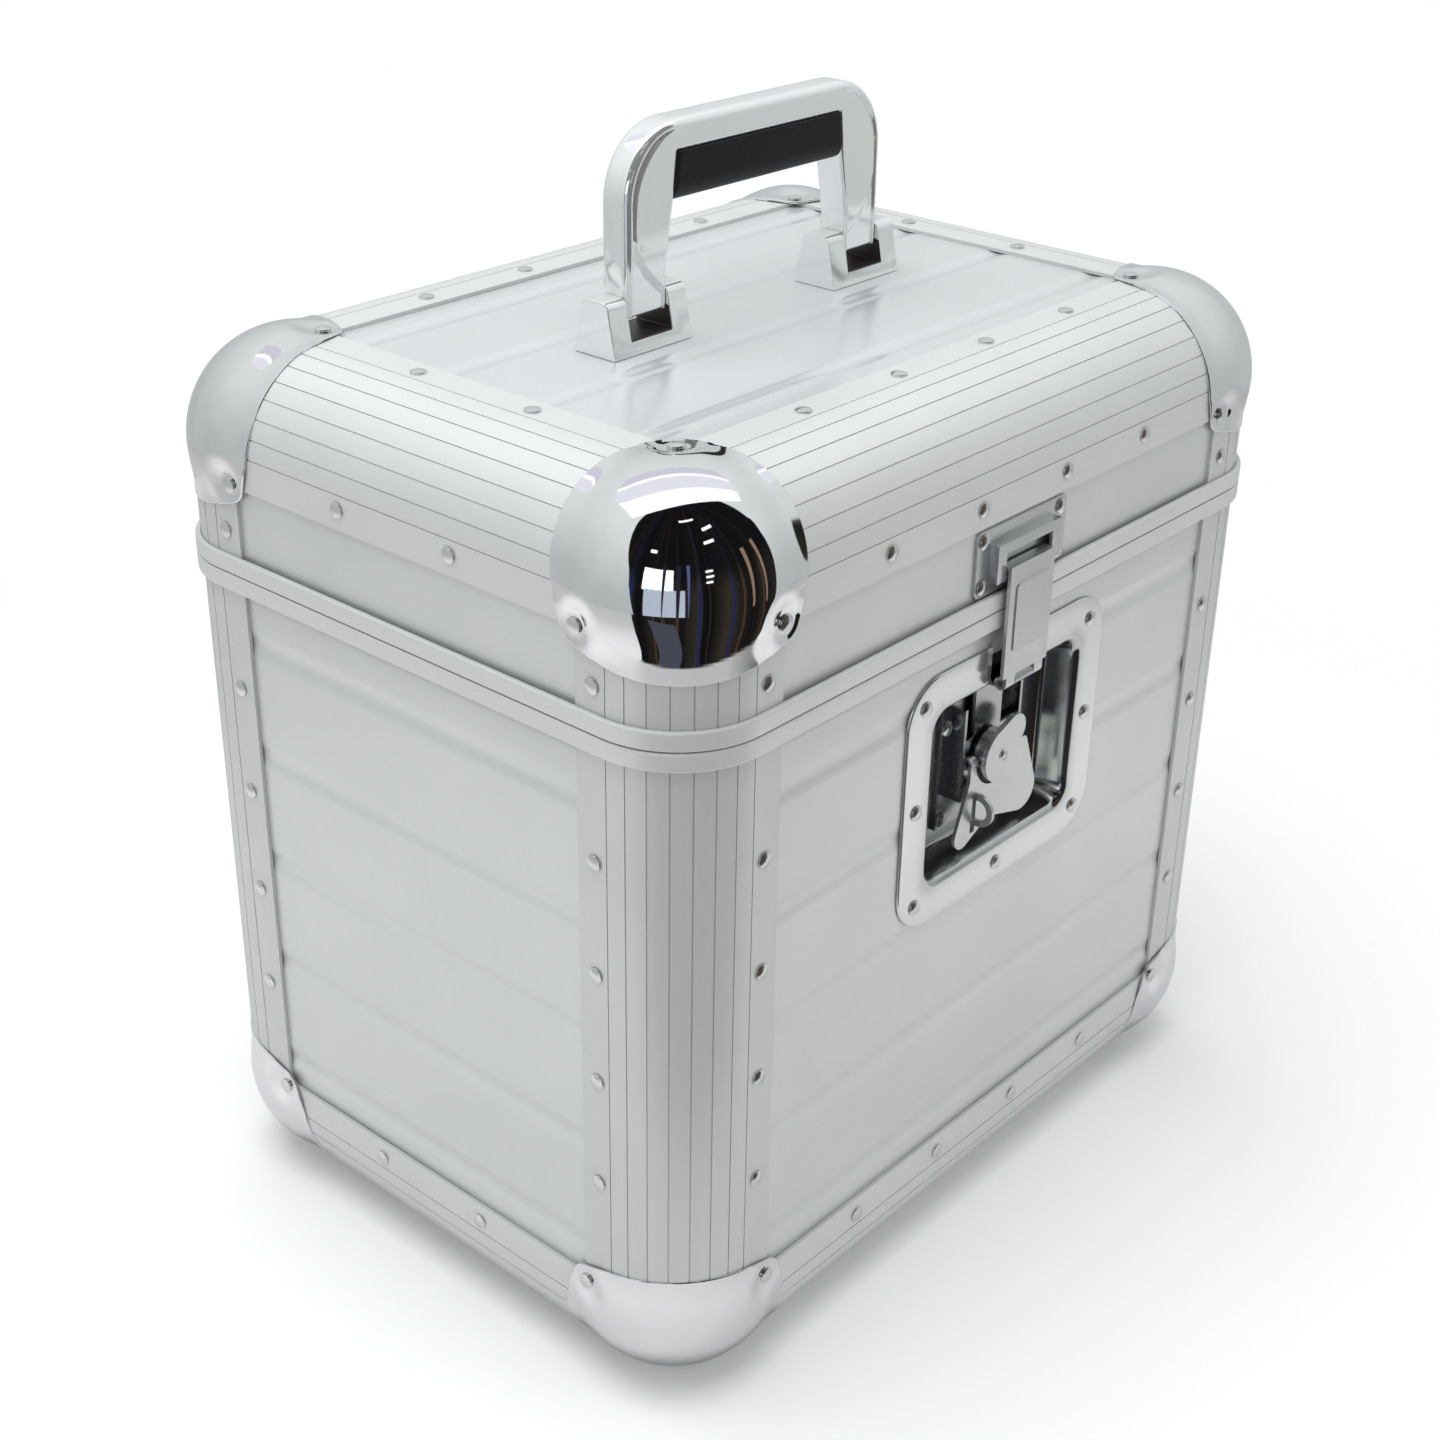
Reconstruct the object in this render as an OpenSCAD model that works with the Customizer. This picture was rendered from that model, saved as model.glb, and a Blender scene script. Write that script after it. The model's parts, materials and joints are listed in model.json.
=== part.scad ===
// Aluminium-clad carry case with ball corners, a drop handle and a recessed butterfly latch.
// The shell is laminated board held in rounded edge rails. X runs along the latch side,
// Y from the latch side to the hinge side and Z up. The origin is the centre of the footprint,
// on the surface that the case stands on.

/* [Case] */
// Width over the edge rails
case_w = 370; // [340:1:460]
// Depth over the edge rails
case_d = 274; // [240:1:340]
// Height over the edge rails
case_h = 368.4; // [330:0.1:460]
// Height of the lid joint above the underside of the rails
seam_z = 284.5; // [260:0.1:290]

/* [Edge rails] */
// Outer radius of the rails
edge_r = 35; // [30:1:38]
// Wall of the rails
rail_t = 1.5; // [1:0.1:2]
// Width of the flat flange beyond the radius
flange_w = 13.5; // [12:0.5:16]
// Fine grooves round the radius
groove_n = 8; // [4:1:12]
// Width of a fine groove
groove_w = 0.5; // [0.3:0.1:1]
// Depth of a fine groove
groove_t = 0.4; // [0.2:0.1:0.8]

/* [Boards] */
// Thickness of the aluminium skin
skin_t = 1; // [0.8:0.1:1.4]
// Thickness of the plywood
ply_t = 6; // [5:0.5:8]
// Spacing of the pressed grooves
wave_pitch = 48.5; // [40:0.5:60]
// Width of a pressed groove
wave_w = 17; // [10:0.5:24]
// Depth of a pressed groove
wave_t = 0.6; // [0.2:0.1:0.7]
// Height of the highest pressed groove on the body
wave_top = 256; // [240:1:260]
// Pressed grooves on each body side
wave_n = 5; // [1:1:5]

/* [Ball corners] */
// Radius of the ball
ball_r = 43; // [41:0.5:46]
// How far the ball stands out of each face
ball_proud = 3; // [2:0.1:4]
// Wall of the ball
ball_t = 1.5; // [1:0.1:2]
// Wall of the ears and skirts
ear_t = 1.2; // [0.8:0.1:1.6]
// How far the corner reaches along each rail
corner_reach = 53; // [51:0.5:58]
// Depth of the small flat that the ball stands on
stand_t = 0.15; // [0.1:0.05:0.4]

/* [Closure frames] */
// Height of each outer bead
bead_h = 7.2; // [6:0.1:10]
// How far the bead stands out
bead_proud = 2.2; // [2:0.1:3.4]
// Gap between the two frames
seam_gap = 0.4; // [0.3:0.1:0.8]
// Thickness of the frame's web
web_t = 3; // [2.5:0.1:4]
// Length of the inner lip
lip_h = 10; // [8:0.5:12]
// Thickness of the inner lip
lip_t = 1.2; // [1:0.1:2]
// Height of the tongue above the joint's centre
tongue_h = 1.6; // [1:0.1:2]
// Thickness of the tongue
tongue_t = 2; // [1.5:0.1:3]

/* [Rivets] */
// Radius of a rivet head
head_r = 3.1; // [2.5:0.1:3.5]
// Height of a rivet head
head_h = 1.4; // [1:0.1:2]
// Radius of a rivet shank
shank_r = 1.6; // [1.2:0.1:2]
// Distance of the rivet rows from the edge
rivet_inset = 40.7; // [39:0.1:44]
// Distance of the corner rivets from the edge
corner_inset = 47.1; // [46:0.1:48]
// Spacing of the rivets along the width
rivet_pitch = 53.7; // [40:0.1:60]
// Distance between the two rivets along the depth
side_pitch = 58.4; // [40:0.1:70]
// Height of the lowest rivet on a post
post_first = 97.2; // [80:0.1:110]
// Spacing of the rivets on a post
post_pitch = 45.7; // [35:0.1:47]
// Height of the rivet on the lid's posts above the joint
lid_rivet_h = 16.8; // [15:0.1:18]

/* [Hinges] */
// Distance of each hinge from the centre line
hinge_x = 92; // [70:1:100]
// Length of each hinge
hinge_w = 50; // [40:1:70]
// Height of each hinge leaf
leaf_h = 24; // [20:1:25]
// Thickness of the hinge leaves
leaf_t = 1.5; // [1:0.1:2]
// Radius of the hinge pin
hinge_pin_r = 1.5; // [1:0.1:2]
// Radius of the hinge barrel
barrel_r = 3.2; // [2.6:0.1:4]

/* [Handle] */
// Overall width of the handle
bow_w = 148; // [130:1:180]
// Height of the handle's top above the lid
bow_h = 80; // [70:1:100]
// Thickness of the handle front to back
bow_t = 13.5; // [10:0.5:15]
// Outer radius of the handle's corners
bow_r = 28; // [24:1:36]
// Height of the top bar
bar_h = 11.5; // [9:0.5:14]
// Width of a leg at its foot
leg_w = 21; // [18:0.5:24]
// Width of a leg beside the grip
leg_top_w = 27; // [24:0.5:30]
// Height of the grip
grip_h = 19; // [14:0.5:24]
// Thickness of the grip front to back
grip_t = 15; // [12:0.5:18]
// Height of the handle's pivot above the lid
pivot_h = 16; // [14:0.5:20]
// Radius of the handle's pins
handle_pin_r = 2; // [1.5:0.1:2.5]
// Width of a handle base
base_w = 42; // [38:1:50]
// Depth of a handle base at its foot
base_d = 21; // [20:1:30]
// Depth of a handle base at the top of its ears
ear_d = 14; // [12:0.5:18]
// Rounding of the ears' top corners
ear_r = 3.6; // [3:0.1:4.5]
// Height of the wall below the leg
sill_h = 4.3; // [3:0.1:5]

/* [Latch] */
// Height of the latch spindle above the underside of the rails
latch_z = 217.5; // [200:0.5:220]
// Width of the dish
dish_w = 129; // [120:1:150]
// Height of the dish
dish_h = 107; // [100:1:116]
// Corner radius of the dish
dish_r = 19; // [12:1:22]
// Thickness of the dish
dish_t = 1.2; // [1:0.1:1.5]
// Width of the pocket at its mouth
pocket_w = 96; // [90:1:100]
// Height of the pocket at its mouth
pocket_h = 75.4; // [70:0.1:78]
// Depth of the pocket below the flange
pocket_t = 12.5; // [12:0.5:16]
// How far the pocket's walls lean in
pocket_lean = 4; // [2:0.5:6]
// Radius of the spindle's disc
disc_r = 11.5; // [10:0.5:12]
// Eccentric throw of the cam, half of the hook's lift
cam_throw = 2.5; // [2:0.1:3]
// Radius of the cam
cam_r = 6; // [5.8:0.1:6.5]
// Radius of the spindle's shaft
shaft_r = 3; // [2:0.1:3]
// Outer radius of the padlock staple
eye_r = 7; // [6.5:0.1:7.2]
// Inner radius of the padlock staple
eye_bore_r = 4.3; // [3.5:0.1:4.8]
// Width of the hook
hook_w = 28.5; // [24:0.5:32]
// Width of the catch plate
catch_w = 57; // [52:1:64]
// Height of the catch plate
catch_h = 26; // [24:0.5:27]

/* [Lining] */
// Thickness of the foam pads
pad_t = 8; // [4:0.5:12]
// Distance of the pads from the outer faces
pad_inset = 32; // [28:1:40]

/* [Fits] */
// Radial clearance of a turning pin
running = 0.05; // [0.02:0.01:0.1]
// Clearance between pieces that are fixed together
fixed_gap = 0.1; // [0.05:0.05:0.2]
// Clearance between pieces that slide past each other
slide_gap = 0.3; // [0.2:0.05:0.5]
// Clearance round foam
soft_gap = 0.3; // [0.2:0.05:0.5]

/* [Hidden] */
$fn = 64;
rail_reach = edge_r + flange_w;          // outer corner to the end of a flange
rail_start = edge_r + 1;                 // outer corner to the start of a rail
inner_t = rail_t + skin_t + ply_t;       // outer face to the back of the board
shell_t = inner_t + rail_t;              // outer face to the inside of a rail
board_inset = edge_r + rail_t + 0.5;     // outer corner to the edge of a board
ball_c = ball_r - ball_proud;            // ball centre behind each face
foot_h = ball_proud - stand_t;           // underside of the rails above the floor
seam_lo = seam_z - seam_gap / 2;         // top of the body frame
seam_hi = seam_z + seam_gap / 2;         // bottom of the lid frame
body_top = seam_lo - web_t;              // top of the body's boards and posts
lid_foot = seam_hi + web_t;              // bottom of the lid's boards and posts
tongue_u = 4;                            // outer face to the tongue
tail_r = 2.6;                            // radius of a rivet's clenched tail
tail_h = 1;                              // height of a rivet's clenched tail
mitre_gap = 0.1;                         // half gap where two rails meet
hole_r = shank_r + fixed_gap;            // rivet holes
skin_out = -rail_t;                      // outer surface of the skin, out of the face
plate_out = skin_out + fixed_gap / 2;    // back of a plate that lies on the skin
leaf_clear = bead_proud + slide_gap;     // inside of a leaf where it passes the beads
barrel_out = leaf_clear + barrel_r;      // hinge axis out of the back face
barrel_n = 5;                            // barrel segments of a hinge
segment = hinge_w / barrel_n;
leaf_gap = 0.5;                          // clearance under and over the beads
leaf_rivet_x = hinge_w / 2 - 7;
leaf_rivet_h = leaf_h / 4;
leg_x = bow_w / 2 - leg_w / 2;           // leg centre from the handle's centre
slot_w = leg_w + 2 * slide_gap;          // slot of a handle base
leg_end = 4.4;                           // pivot to the end of a leg
ear_skin = 4;                            // closed end of the pin's hole
grip_top = bow_h - bar_h;
grip_foot = grip_top - grip_h;
screw_x = base_w / 2 - 5.5;              // handle screws from the base's centre
screw_r = 2;
back_w = base_w + 6;                     // backing plate
back_d = base_d;
back_t = 1.5;
screw_head_r = 3.8;
screw_head_h = 2.4;
pocket_floor = skin_out - pocket_t;      // floor of the pocket, out of the front face
dish_y = -2.3;                           // dish centre from the spindle
floor_w = pocket_w - 2 * pocket_lean;     // the pocket at its floor
floor_h = pocket_h - 2 * pocket_lean;
notch_w = hook_w + 9.5;
plate_t = 1.5;                           // sheet of the latch plate, link and hook
plate_front = pocket_floor + plate_t;
plate_w = 52;
plate_h = 56;
guide_x = 17.5;                          // inside of the link's guides
link_z = plate_front + 1.9;              // back of the link
link_w = 2 * (guide_x - slide_gap);
window_y = cam_r + 0.28 * cam_throw;     // half height of the link's window
neck_w = 18;
wing_z = pocket_floor + 8;               // axis of the wing's pin
guide_top = wing_z - 0.5;                // front of the link's guides
disc_back = wing_z + 3.2;
disc_t = 2.2;
cap_x = 7.6;                             // raised cap beside the disc, from the spindle
cap_y = 8.2;
cap_r = 6.6;
cap_lean = 112;                          // direction of the edge that the disc and the cap share
wing_pin_r = 1.2;
wing_boss_r = 2.4;
wing_in = disc_r + 1.1;                  // inside of the wing's arms
wing_cut_r = disc_r + 1.5;               // opening of the wing round the disc
wing_out = wing_in + 3.9;
wing_back = wing_z + 0.6;
eye_z = wing_back + plate_t + 0.8;       // centre of the staple, out of the face
slot_w_wing = 3;                         // slot beside the staple
hook_pin_r = 1.25;
hook_barrel_r = 2.7;
hook_barrel_w = 24;
hook_y = 36.4;                           // hook hinge above the spindle
hook_z = plate_out + dish_t + hook_barrel_r + slide_gap + 0.25;
hook_front = hook_z + hook_barrel_r;
lift = 2 * cam_throw;
hook_top = 85;                           // top of the hook above the spindle
catch_y = seam_hi + bead_h + 0.4 - latch_z;   // foot of the catch plate above the spindle
catch_front = plate_out + 1.2;
bridge_front = hook_front - plate_t - 0.6;
bridge_t = 1.2;
bridge_w = hook_w + 12;
eye_x = -11.4;                           // padlock staple from the spindle
eye_y = -21.2;
pad_r = 6;
dish_rivets = [
    for (sx = [-1, 1]) for (sy = [-1, 1]) [sx * (dish_w / 2 - 10.5), dish_y + sy * (dish_h / 2 - 11)],
    for (sx = [-1, 1]) [sx * (dish_w / 2 - 8), dish_y],
    [0, dish_y - dish_h / 2 + 7.5]];
plate_rivets = [for (sx = [-1, 1]) for (y = [-24, 16]) [sx * (plate_w / 2 - 3.5), y]];
catch_rivets = [
    for (sx = [-1, 1]) for (sy = [0, 1]) [sx * (catch_w / 2 - 4), catch_y + 4 + sy * (catch_h - 8)]];
row_x = [for (i = [-1.5, -0.5, 0.5, 1.5]) i * rivet_pitch];
row_y = [-side_pitch / 2, side_pitch / 2];
post_z = [for (i = [0:3]) post_first + i * post_pitch];

// ---- frames of reference ----

// Lifts the shell so that the ball corners stand on the floor.
module shell() translate([0, 0, foot_h]) children();

// Turn local X, Y, Z into Y, Z, X, and into Z, X, Y.
module along_x() rotate([90, 0, 90]) children();
module along_y() along_x() along_x() children();

// Each face: local X across, local Y up and local Z out of the face.
module on_front() translate([0, -case_d / 2, 0]) rotate([90, 0, 0]) children();
module on_back() mirror([0, 1, 0]) on_front() children();
module on_left() translate([-case_w / 2, 0, 0]) rotate([90, 0, -90]) children();
module on_right() mirror([1, 0, 0]) on_left() children();
module on_top() translate([0, 0, case_h]) children();
module on_base() mirror([0, 0, 1]) children();

// The latch: origin at the spindle, on the front face.
module on_latch() on_front() translate([0, latch_z, 0]) children();

module left_and_right() {
    children();
    mirror([1, 0, 0]) children();
}

module spots(points) for (p = points) translate([p[0], p[1], 0]) children();

// ---- fasteners ----

// Rivet along Z: head above z = seat, shank through the wall, tail inside it.
module rivet(seat, wall) {
    ball = (head_r * head_r + head_h * head_h) / (2 * head_h);
    intersection() {
        translate([0, 0, seat + head_h - ball]) sphere(ball);
        translate([-5, -5, seat]) cube([10, 10, 5]);
    }
    translate([0, 0, -wall]) cylinder(r = shank_r, h = wall + seat);
    translate([0, 0, -wall - tail_h]) cylinder(r = tail_r, h = tail_h);
}

module rivet_hole() translate([0, 0, -20]) cylinder(r = hole_r, h = 30);

// Rivet places on the body and the lid, as [across, up] on each face.
body_rows = [for (x = row_x) [x, rivet_inset]];
body_side_rows = [for (y = row_y) [y, rivet_inset]];
function posts_at(half, heights) = [for (s = [-1, 1]) for (z = heights) [s * (half - rivet_inset), z]];
body_front = concat(body_rows, posts_at(case_w / 2, post_z));
body_side = concat(body_side_rows, posts_at(case_d / 2, post_z));
lid_front = concat([for (x = row_x) [x, case_h - rivet_inset]], posts_at(case_w / 2, [seam_z + lid_rivet_h]));
lid_side = concat([for (y = row_y) [y, case_h - rivet_inset]], posts_at(case_d / 2, [seam_z + lid_rivet_h]));
flat_face = concat(
    [for (x = row_x) for (s = [-1, 1]) [x, s * (case_d / 2 - rivet_inset)]],
    [for (y = row_y) for (s = [-1, 1]) [s * (case_w / 2 - rivet_inset), y]]);
function corners_at(half, z) = [for (s = [-1, 1]) [s * (half - corner_inset), z]];
flat_corners = [for (s = [-1, 1]) for (p = corners_at(case_w / 2, s * (case_d / 2 - corner_inset))) p];

module body_rail_spots() {
    on_front() spots(body_front) children();
    on_back() spots(body_front) children();
    on_left() spots(body_side) children();
    on_right() spots(body_side) children();
    on_base() spots(flat_face) children();
}

module body_corner_spots() {
    on_front() spots(corners_at(case_w / 2, corner_inset)) children();
    on_back() spots(corners_at(case_w / 2, corner_inset)) children();
    on_left() spots(corners_at(case_d / 2, corner_inset)) children();
    on_right() spots(corners_at(case_d / 2, corner_inset)) children();
    on_base() spots(flat_corners) children();
}

module lid_rail_spots() {
    on_front() spots(lid_front) children();
    on_back() spots(lid_front) children();
    on_left() spots(lid_side) children();
    on_right() spots(lid_side) children();
    on_top() spots(flat_face) children();
}

module lid_corner_spots() {
    on_front() spots(corners_at(case_w / 2, case_h - corner_inset)) children();
    on_back() spots(corners_at(case_w / 2, case_h - corner_inset)) children();
    on_left() spots(corners_at(case_d / 2, case_h - corner_inset)) children();
    on_right() spots(corners_at(case_d / 2, case_h - corner_inset)) children();
    on_top() spots(flat_corners) children();
}

module body_holes() {
    body_rail_spots() rivet_hole();
    body_corner_spots() rivet_hole();
}

module lid_holes() {
    lid_rail_spots() rivet_hole();
    lid_corner_spots() rivet_hole();
}

// Leaf rivets of both hinges on the back face, below or above the joint.
module leaf_spots(up) on_back() for (s = [-1, 1]) for (x = [-1, 1]) for (h = [1, 3])
    translate([s * hinge_x + x * leaf_rivet_x, seam_z, 0])
        translate([0, up * (bead_h + leaf_gap + leaf_t + h * leaf_rivet_h), 0])
            children();

// ---- rails ----

// Square with a rounded outer corner at the origin, set back by depth from both faces.
module corner_fill(depth, reach) {
    intersection() {
        translate([edge_r, edge_r]) circle(edge_r - depth);
        translate([depth, depth]) square(edge_r - depth);
    }
    translate([depth, edge_r]) square([reach - depth, reach - edge_r]);
    translate([edge_r, depth]) square([reach - edge_r, reach - depth]);
}

module corner_wall(depth, thick) difference() {
    corner_fill(depth, rail_reach);
    corner_fill(depth + thick, rail_reach + 1);
}

// Hollow rail: outer wall with fine grooves, inner wall, and a web that stops each board.
module rail_profile() difference() {
    union() {
        corner_wall(0, rail_t);
        corner_wall(inner_t, rail_t);
        translate([edge_r, rail_t / 2]) square([rail_t, inner_t]);
        translate([rail_t / 2, edge_r]) square([inner_t, rail_t]);
    }
    for (i = [0:groove_n - 1]) translate([edge_r, edge_r]) rotate(180 + 90 * i / (groove_n - 1))
        translate([edge_r - groove_t, -groove_w / 2]) square([2 * groove_t, groove_w]);
}

// Keeps what lies inside a 45 degree mitre at each end, in the XZ plane.
module mitre(lo, hi, square_end) {
    far = rail_reach + 1;
    rotate([90, 0, 0]) translate([0, 0, -far]) linear_extrude(far + 1) polygon([
        [-1, lo - 1 + mitre_gap],
        [far, lo + far + mitre_gap],
        [far, square_end ? hi : hi - far - mitre_gap],
        [-1, square_end ? hi : hi + 1 - mitre_gap]]);
}

// Rail along Z between the outer faces at lo and hi; a square end stops at hi itself.
module rail(lo, hi, square_end = false) {
    top = square_end ? hi : hi - rail_start;
    intersection() {
        translate([0, 0, lo + rail_start]) linear_extrude(top - lo - rail_start) rail_profile();
        mitre(lo, hi, square_end);
        mirror([1, -1, 0]) mitre(lo, hi, square_end);
    }
}

module body_post() translate([-case_w / 2, -case_d / 2, 0]) rail(0, body_top, true);
module lid_post() translate([-case_w / 2, -case_d / 2, case_h]) mirror([0, 0, 1])
    rail(0, case_h - lid_foot, true);
module rail_front() translate([0, -case_d / 2, 0]) along_x() rail(-case_w / 2, case_w / 2);
module rail_left() translate([-case_w / 2, 0, 0]) along_y() rail(-case_d / 2, case_d / 2);
module to_lid() translate([0, 0, case_h]) mirror([0, 0, 1]) children();

module drilled_body() shell() difference() {
    children();
    body_holes();
}

module drilled_lid() shell() difference() {
    children();
    lid_holes();
}

module post_front_left() color("silver") drilled_body() body_post();
module post_front_right() color("silver") drilled_body() mirror([1, 0, 0]) body_post();
module post_back_left() color("silver") drilled_body() mirror([0, 1, 0]) body_post();
module post_back_right() color("silver") drilled_body() rotate(180) body_post();
module base_rail_front() color("silver") drilled_body() rail_front();
module base_rail_back() color("silver") drilled_body() mirror([0, 1, 0]) rail_front();
module base_rail_left() color("silver") drilled_body() rail_left();
module base_rail_right() color("silver") drilled_body() mirror([1, 0, 0]) rail_left();
module top_rail_front() color("silver") drilled_lid() to_lid() rail_front();
module top_rail_back() color("silver") drilled_lid() to_lid() mirror([0, 1, 0]) rail_front();
module top_rail_left() color("silver") drilled_lid() to_lid() rail_left();
module top_rail_right() color("silver") drilled_lid() to_lid() mirror([1, 0, 0]) rail_left();
module lid_posts() color("silver") drilled_lid() {
    left_and_right() lid_post();
    left_and_right() mirror([0, 1, 0]) lid_post();
}

// ---- boards and skins ----

board_w = case_w - 2 * board_inset;
board_d = case_d - 2 * board_inset;
body_board = body_top - board_inset;
lid_board = case_h - board_inset - lid_foot;

// Board or skin on a face: across and up are its size, foot its lower edge.
module board(across, foot, up) translate([-across / 2, foot, -inner_t]) cube([across, up, ply_t]);
module flat_skin(across, foot, up) translate([-across / 2, foot, skin_out - skin_t])
    cube([across, up, skin_t]);

function groove_points(centre) = [for (k = [0:12])
    [centre + wave_w * (k / 12 - 0.5), skin_out - wave_t * (0.5 - 0.5 * cos(30 * k))]];

// Skin with pressed grooves across it, centred at the given heights from lowest to highest.
module waved_skin(across, foot, up, centres) along_x() translate([0, 0, -across / 2]) linear_extrude(across)
    polygon(concat(
        [[foot, skin_out - skin_t], [foot, skin_out]],
        [for (c = centres) for (p = groove_points(c)) p],
        [[foot + up, skin_out], [foot + up, skin_out - skin_t]]));

body_waves = [for (i = [wave_n - 1:-1:0]) wave_top - i * wave_pitch];
top_waves = [for (i = [-1.5, -0.5, 0.5, 1.5]) i * wave_pitch];

// Opening in the front board and skin for the pocket and the link.
module dish_cut() {
    translate([-pocket_w / 2 - 2, dish_y - pocket_h / 2 - 2, -20]) cube([pocket_w + 4, pocket_h + 4, 25]);
    translate([-neck_w / 2 - 1.5, 0, -20]) cube([neck_w + 3, hook_y + lift, 25]);
}

module front_cuts() on_latch() {
    dish_cut();
    spots(dish_rivets) rivet_hole();
}

module handle_screw_holes(r) for (s = [-1, 1]) for (x = [-screw_x, screw_x])
    translate([s * leg_x + x, 0, case_h - 20]) cylinder(r = r, h = 30);

module base_panel() color("tan") drilled_body() on_base() board(board_w, -board_d / 2, board_d);
module front_panel() color("tan") drilled_body() difference() {
    on_front() board(board_w, board_inset, body_board);
    front_cuts();
}
module back_panel() color("tan") drilled_body() difference() {
    on_back() board(board_w, board_inset, body_board);
    leaf_spots(-1) rivet_hole();
}
module left_panel() color("tan") drilled_body() on_left() board(board_d, board_inset, body_board);
module right_panel() color("tan") drilled_body() on_right() board(board_d, board_inset, body_board);
module base_skin() color("gainsboro") drilled_body() on_base() flat_skin(board_w, -board_d / 2, board_d);
module front_skin() color("gainsboro") drilled_body() difference() {
    on_front() waved_skin(board_w, board_inset, body_board, body_waves);
    front_cuts();
}
module back_skin() color("gainsboro") drilled_body() difference() {
    on_back() waved_skin(board_w, board_inset, body_board, body_waves);
    leaf_spots(-1) rivet_hole();
}
module side_skins() color("gainsboro") drilled_body() {
    on_left() waved_skin(board_d, board_inset, body_board, body_waves);
    on_right() waved_skin(board_d, board_inset, body_board, body_waves);
}
module lid_top_panel() color("tan") drilled_lid() difference() {
    on_top() board(board_w, -board_d / 2, board_d);
    handle_screw_holes(screw_r + 2 * fixed_gap);
}
module lid_top_skin() color("whitesmoke") drilled_lid() difference() {
    on_top() waved_skin(board_w, -board_d / 2, board_d, top_waves);
    handle_screw_holes(screw_r + 2 * fixed_gap);
}
module lid_side_panels() color("tan") drilled_lid() difference() {
    union() {
        on_front() board(board_w, lid_foot, lid_board);
        on_back() board(board_w, lid_foot, lid_board);
        on_left() board(board_d, lid_foot, lid_board);
        on_right() board(board_d, lid_foot, lid_board);
    }
    on_latch() spots(catch_rivets) rivet_hole();
    leaf_spots(1) rivet_hole();
}
module lid_side_skins() color("gainsboro") drilled_lid() difference() {
    union() {
        on_front() flat_skin(board_w, lid_foot, lid_board);
        on_back() flat_skin(board_w, lid_foot, lid_board);
        on_left() flat_skin(board_d, lid_foot, lid_board);
        on_right() flat_skin(board_d, lid_foot, lid_board);
    }
    on_latch() spots(catch_rivets) rivet_hole();
    leaf_spots(1) rivet_hole();
}

// ---- closure frames ----

// Carries a profile round the case: profile X is the depth behind the outer face, Y is height.
module round_the_case() {
    for (s = [-1, 1]) {
        mirror([0, s > 0 ? 1 : 0, 0]) translate([0, -case_d / 2, 0]) along_x()
            translate([0, 0, edge_r - case_w / 2]) linear_extrude(case_w - 2 * edge_r) children();
        mirror([s > 0 ? 1 : 0, 0, 0]) translate([-case_w / 2, case_d / 2 - edge_r, 0]) rotate([90, 0, 0])
            linear_extrude(case_d - 2 * edge_r) children();
        for (t = [-1, 1]) mirror([s > 0 ? 1 : 0, 0, 0]) mirror([0, t > 0 ? 1 : 0, 0])
            translate([edge_r - case_w / 2, edge_r - case_d / 2, 0]) rotate(180)
                rotate_extrude(angle = 90) translate([edge_r, 0]) mirror([1, 0]) children();
    }
}

// Bead over the boards' edge, web on top of them and lip inside, hanging from height 0.
module frame_profile() {
    nose = 0.4 * bead_proud;
    translate([-bead_proud + nose, -bead_h]) square([bead_proud - nose - fixed_gap, bead_h]);
    translate([-bead_proud, -bead_h + nose]) square([2 * nose, bead_h - 2 * nose]);
    for (z = [-bead_h + nose, -nose]) translate([-bead_proud + nose, z]) circle(nose);
    translate([-bead_proud + nose, -web_t]) square([bead_proud - nose + shell_t + fixed_gap + lip_t, web_t]);
    translate([shell_t + fixed_gap, -web_t - lip_h]) square([lip_t, web_t + lip_h]);
}

module body_frame() color("lightgray") shell() translate([0, 0, seam_lo]) round_the_case() {
    union() {
        frame_profile();
        translate([tongue_u, -web_t]) square([tongue_t, web_t + tongue_h + seam_gap / 2]);
    }
}

module lid_frame() color("lightgray") shell() translate([0, 0, seam_hi]) mirror([0, 0, 1])
    round_the_case() difference() {
        frame_profile();
        translate([tongue_u - slide_gap - 0.1, -tongue_h - slide_gap])
            square([tongue_t + 2 * slide_gap + 0.2, tongue_h + 2 * slide_gap]);
    }

// ---- ball corners ----

// Corner at the origin, reaching along +X, +Y and +Z.
module each_axis() {
    children();
    along_x() children();
    along_y() children();
}

module corner_ball() difference() {
    union() {
        intersection() {
            translate([ball_c, ball_c, ball_c]) sphere(ball_r);
            translate([-5, -5, -5]) cube(corner_reach + 5);
        }
        each_axis() translate([0, 0, rail_start]) linear_extrude(corner_reach - rail_start)
            corner_fill(-ear_t, corner_reach);
    }
    translate([ball_c, ball_c, ball_c]) sphere(ball_r - ball_t);
    each_axis() {
        translate([0, 0, rail_start - fixed_gap]) linear_extrude(2 * corner_reach)
            corner_fill(-fixed_gap / 2, 2 * corner_reach);
        // rivet seat, rivet hole and the rounded tip of the ear on the face below
        translate([corner_inset, corner_inset, -ear_t - 5]) cylinder(r = head_r + 1, h = 5);
        translate([corner_inset, corner_inset, -5]) cylinder(r = hole_r, h = 10);
        translate([0, 0, -ear_t - 1]) linear_extrude(ear_t + 2) difference() {
            translate([corner_inset, corner_inset]) square(corner_reach);
            translate([corner_inset, corner_inset]) circle(corner_reach - corner_inset);
        }
    }
    translate([-5, -5, -5 - foot_h]) cube([2 * corner_reach, 2 * corner_reach, 5]);
}

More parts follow.
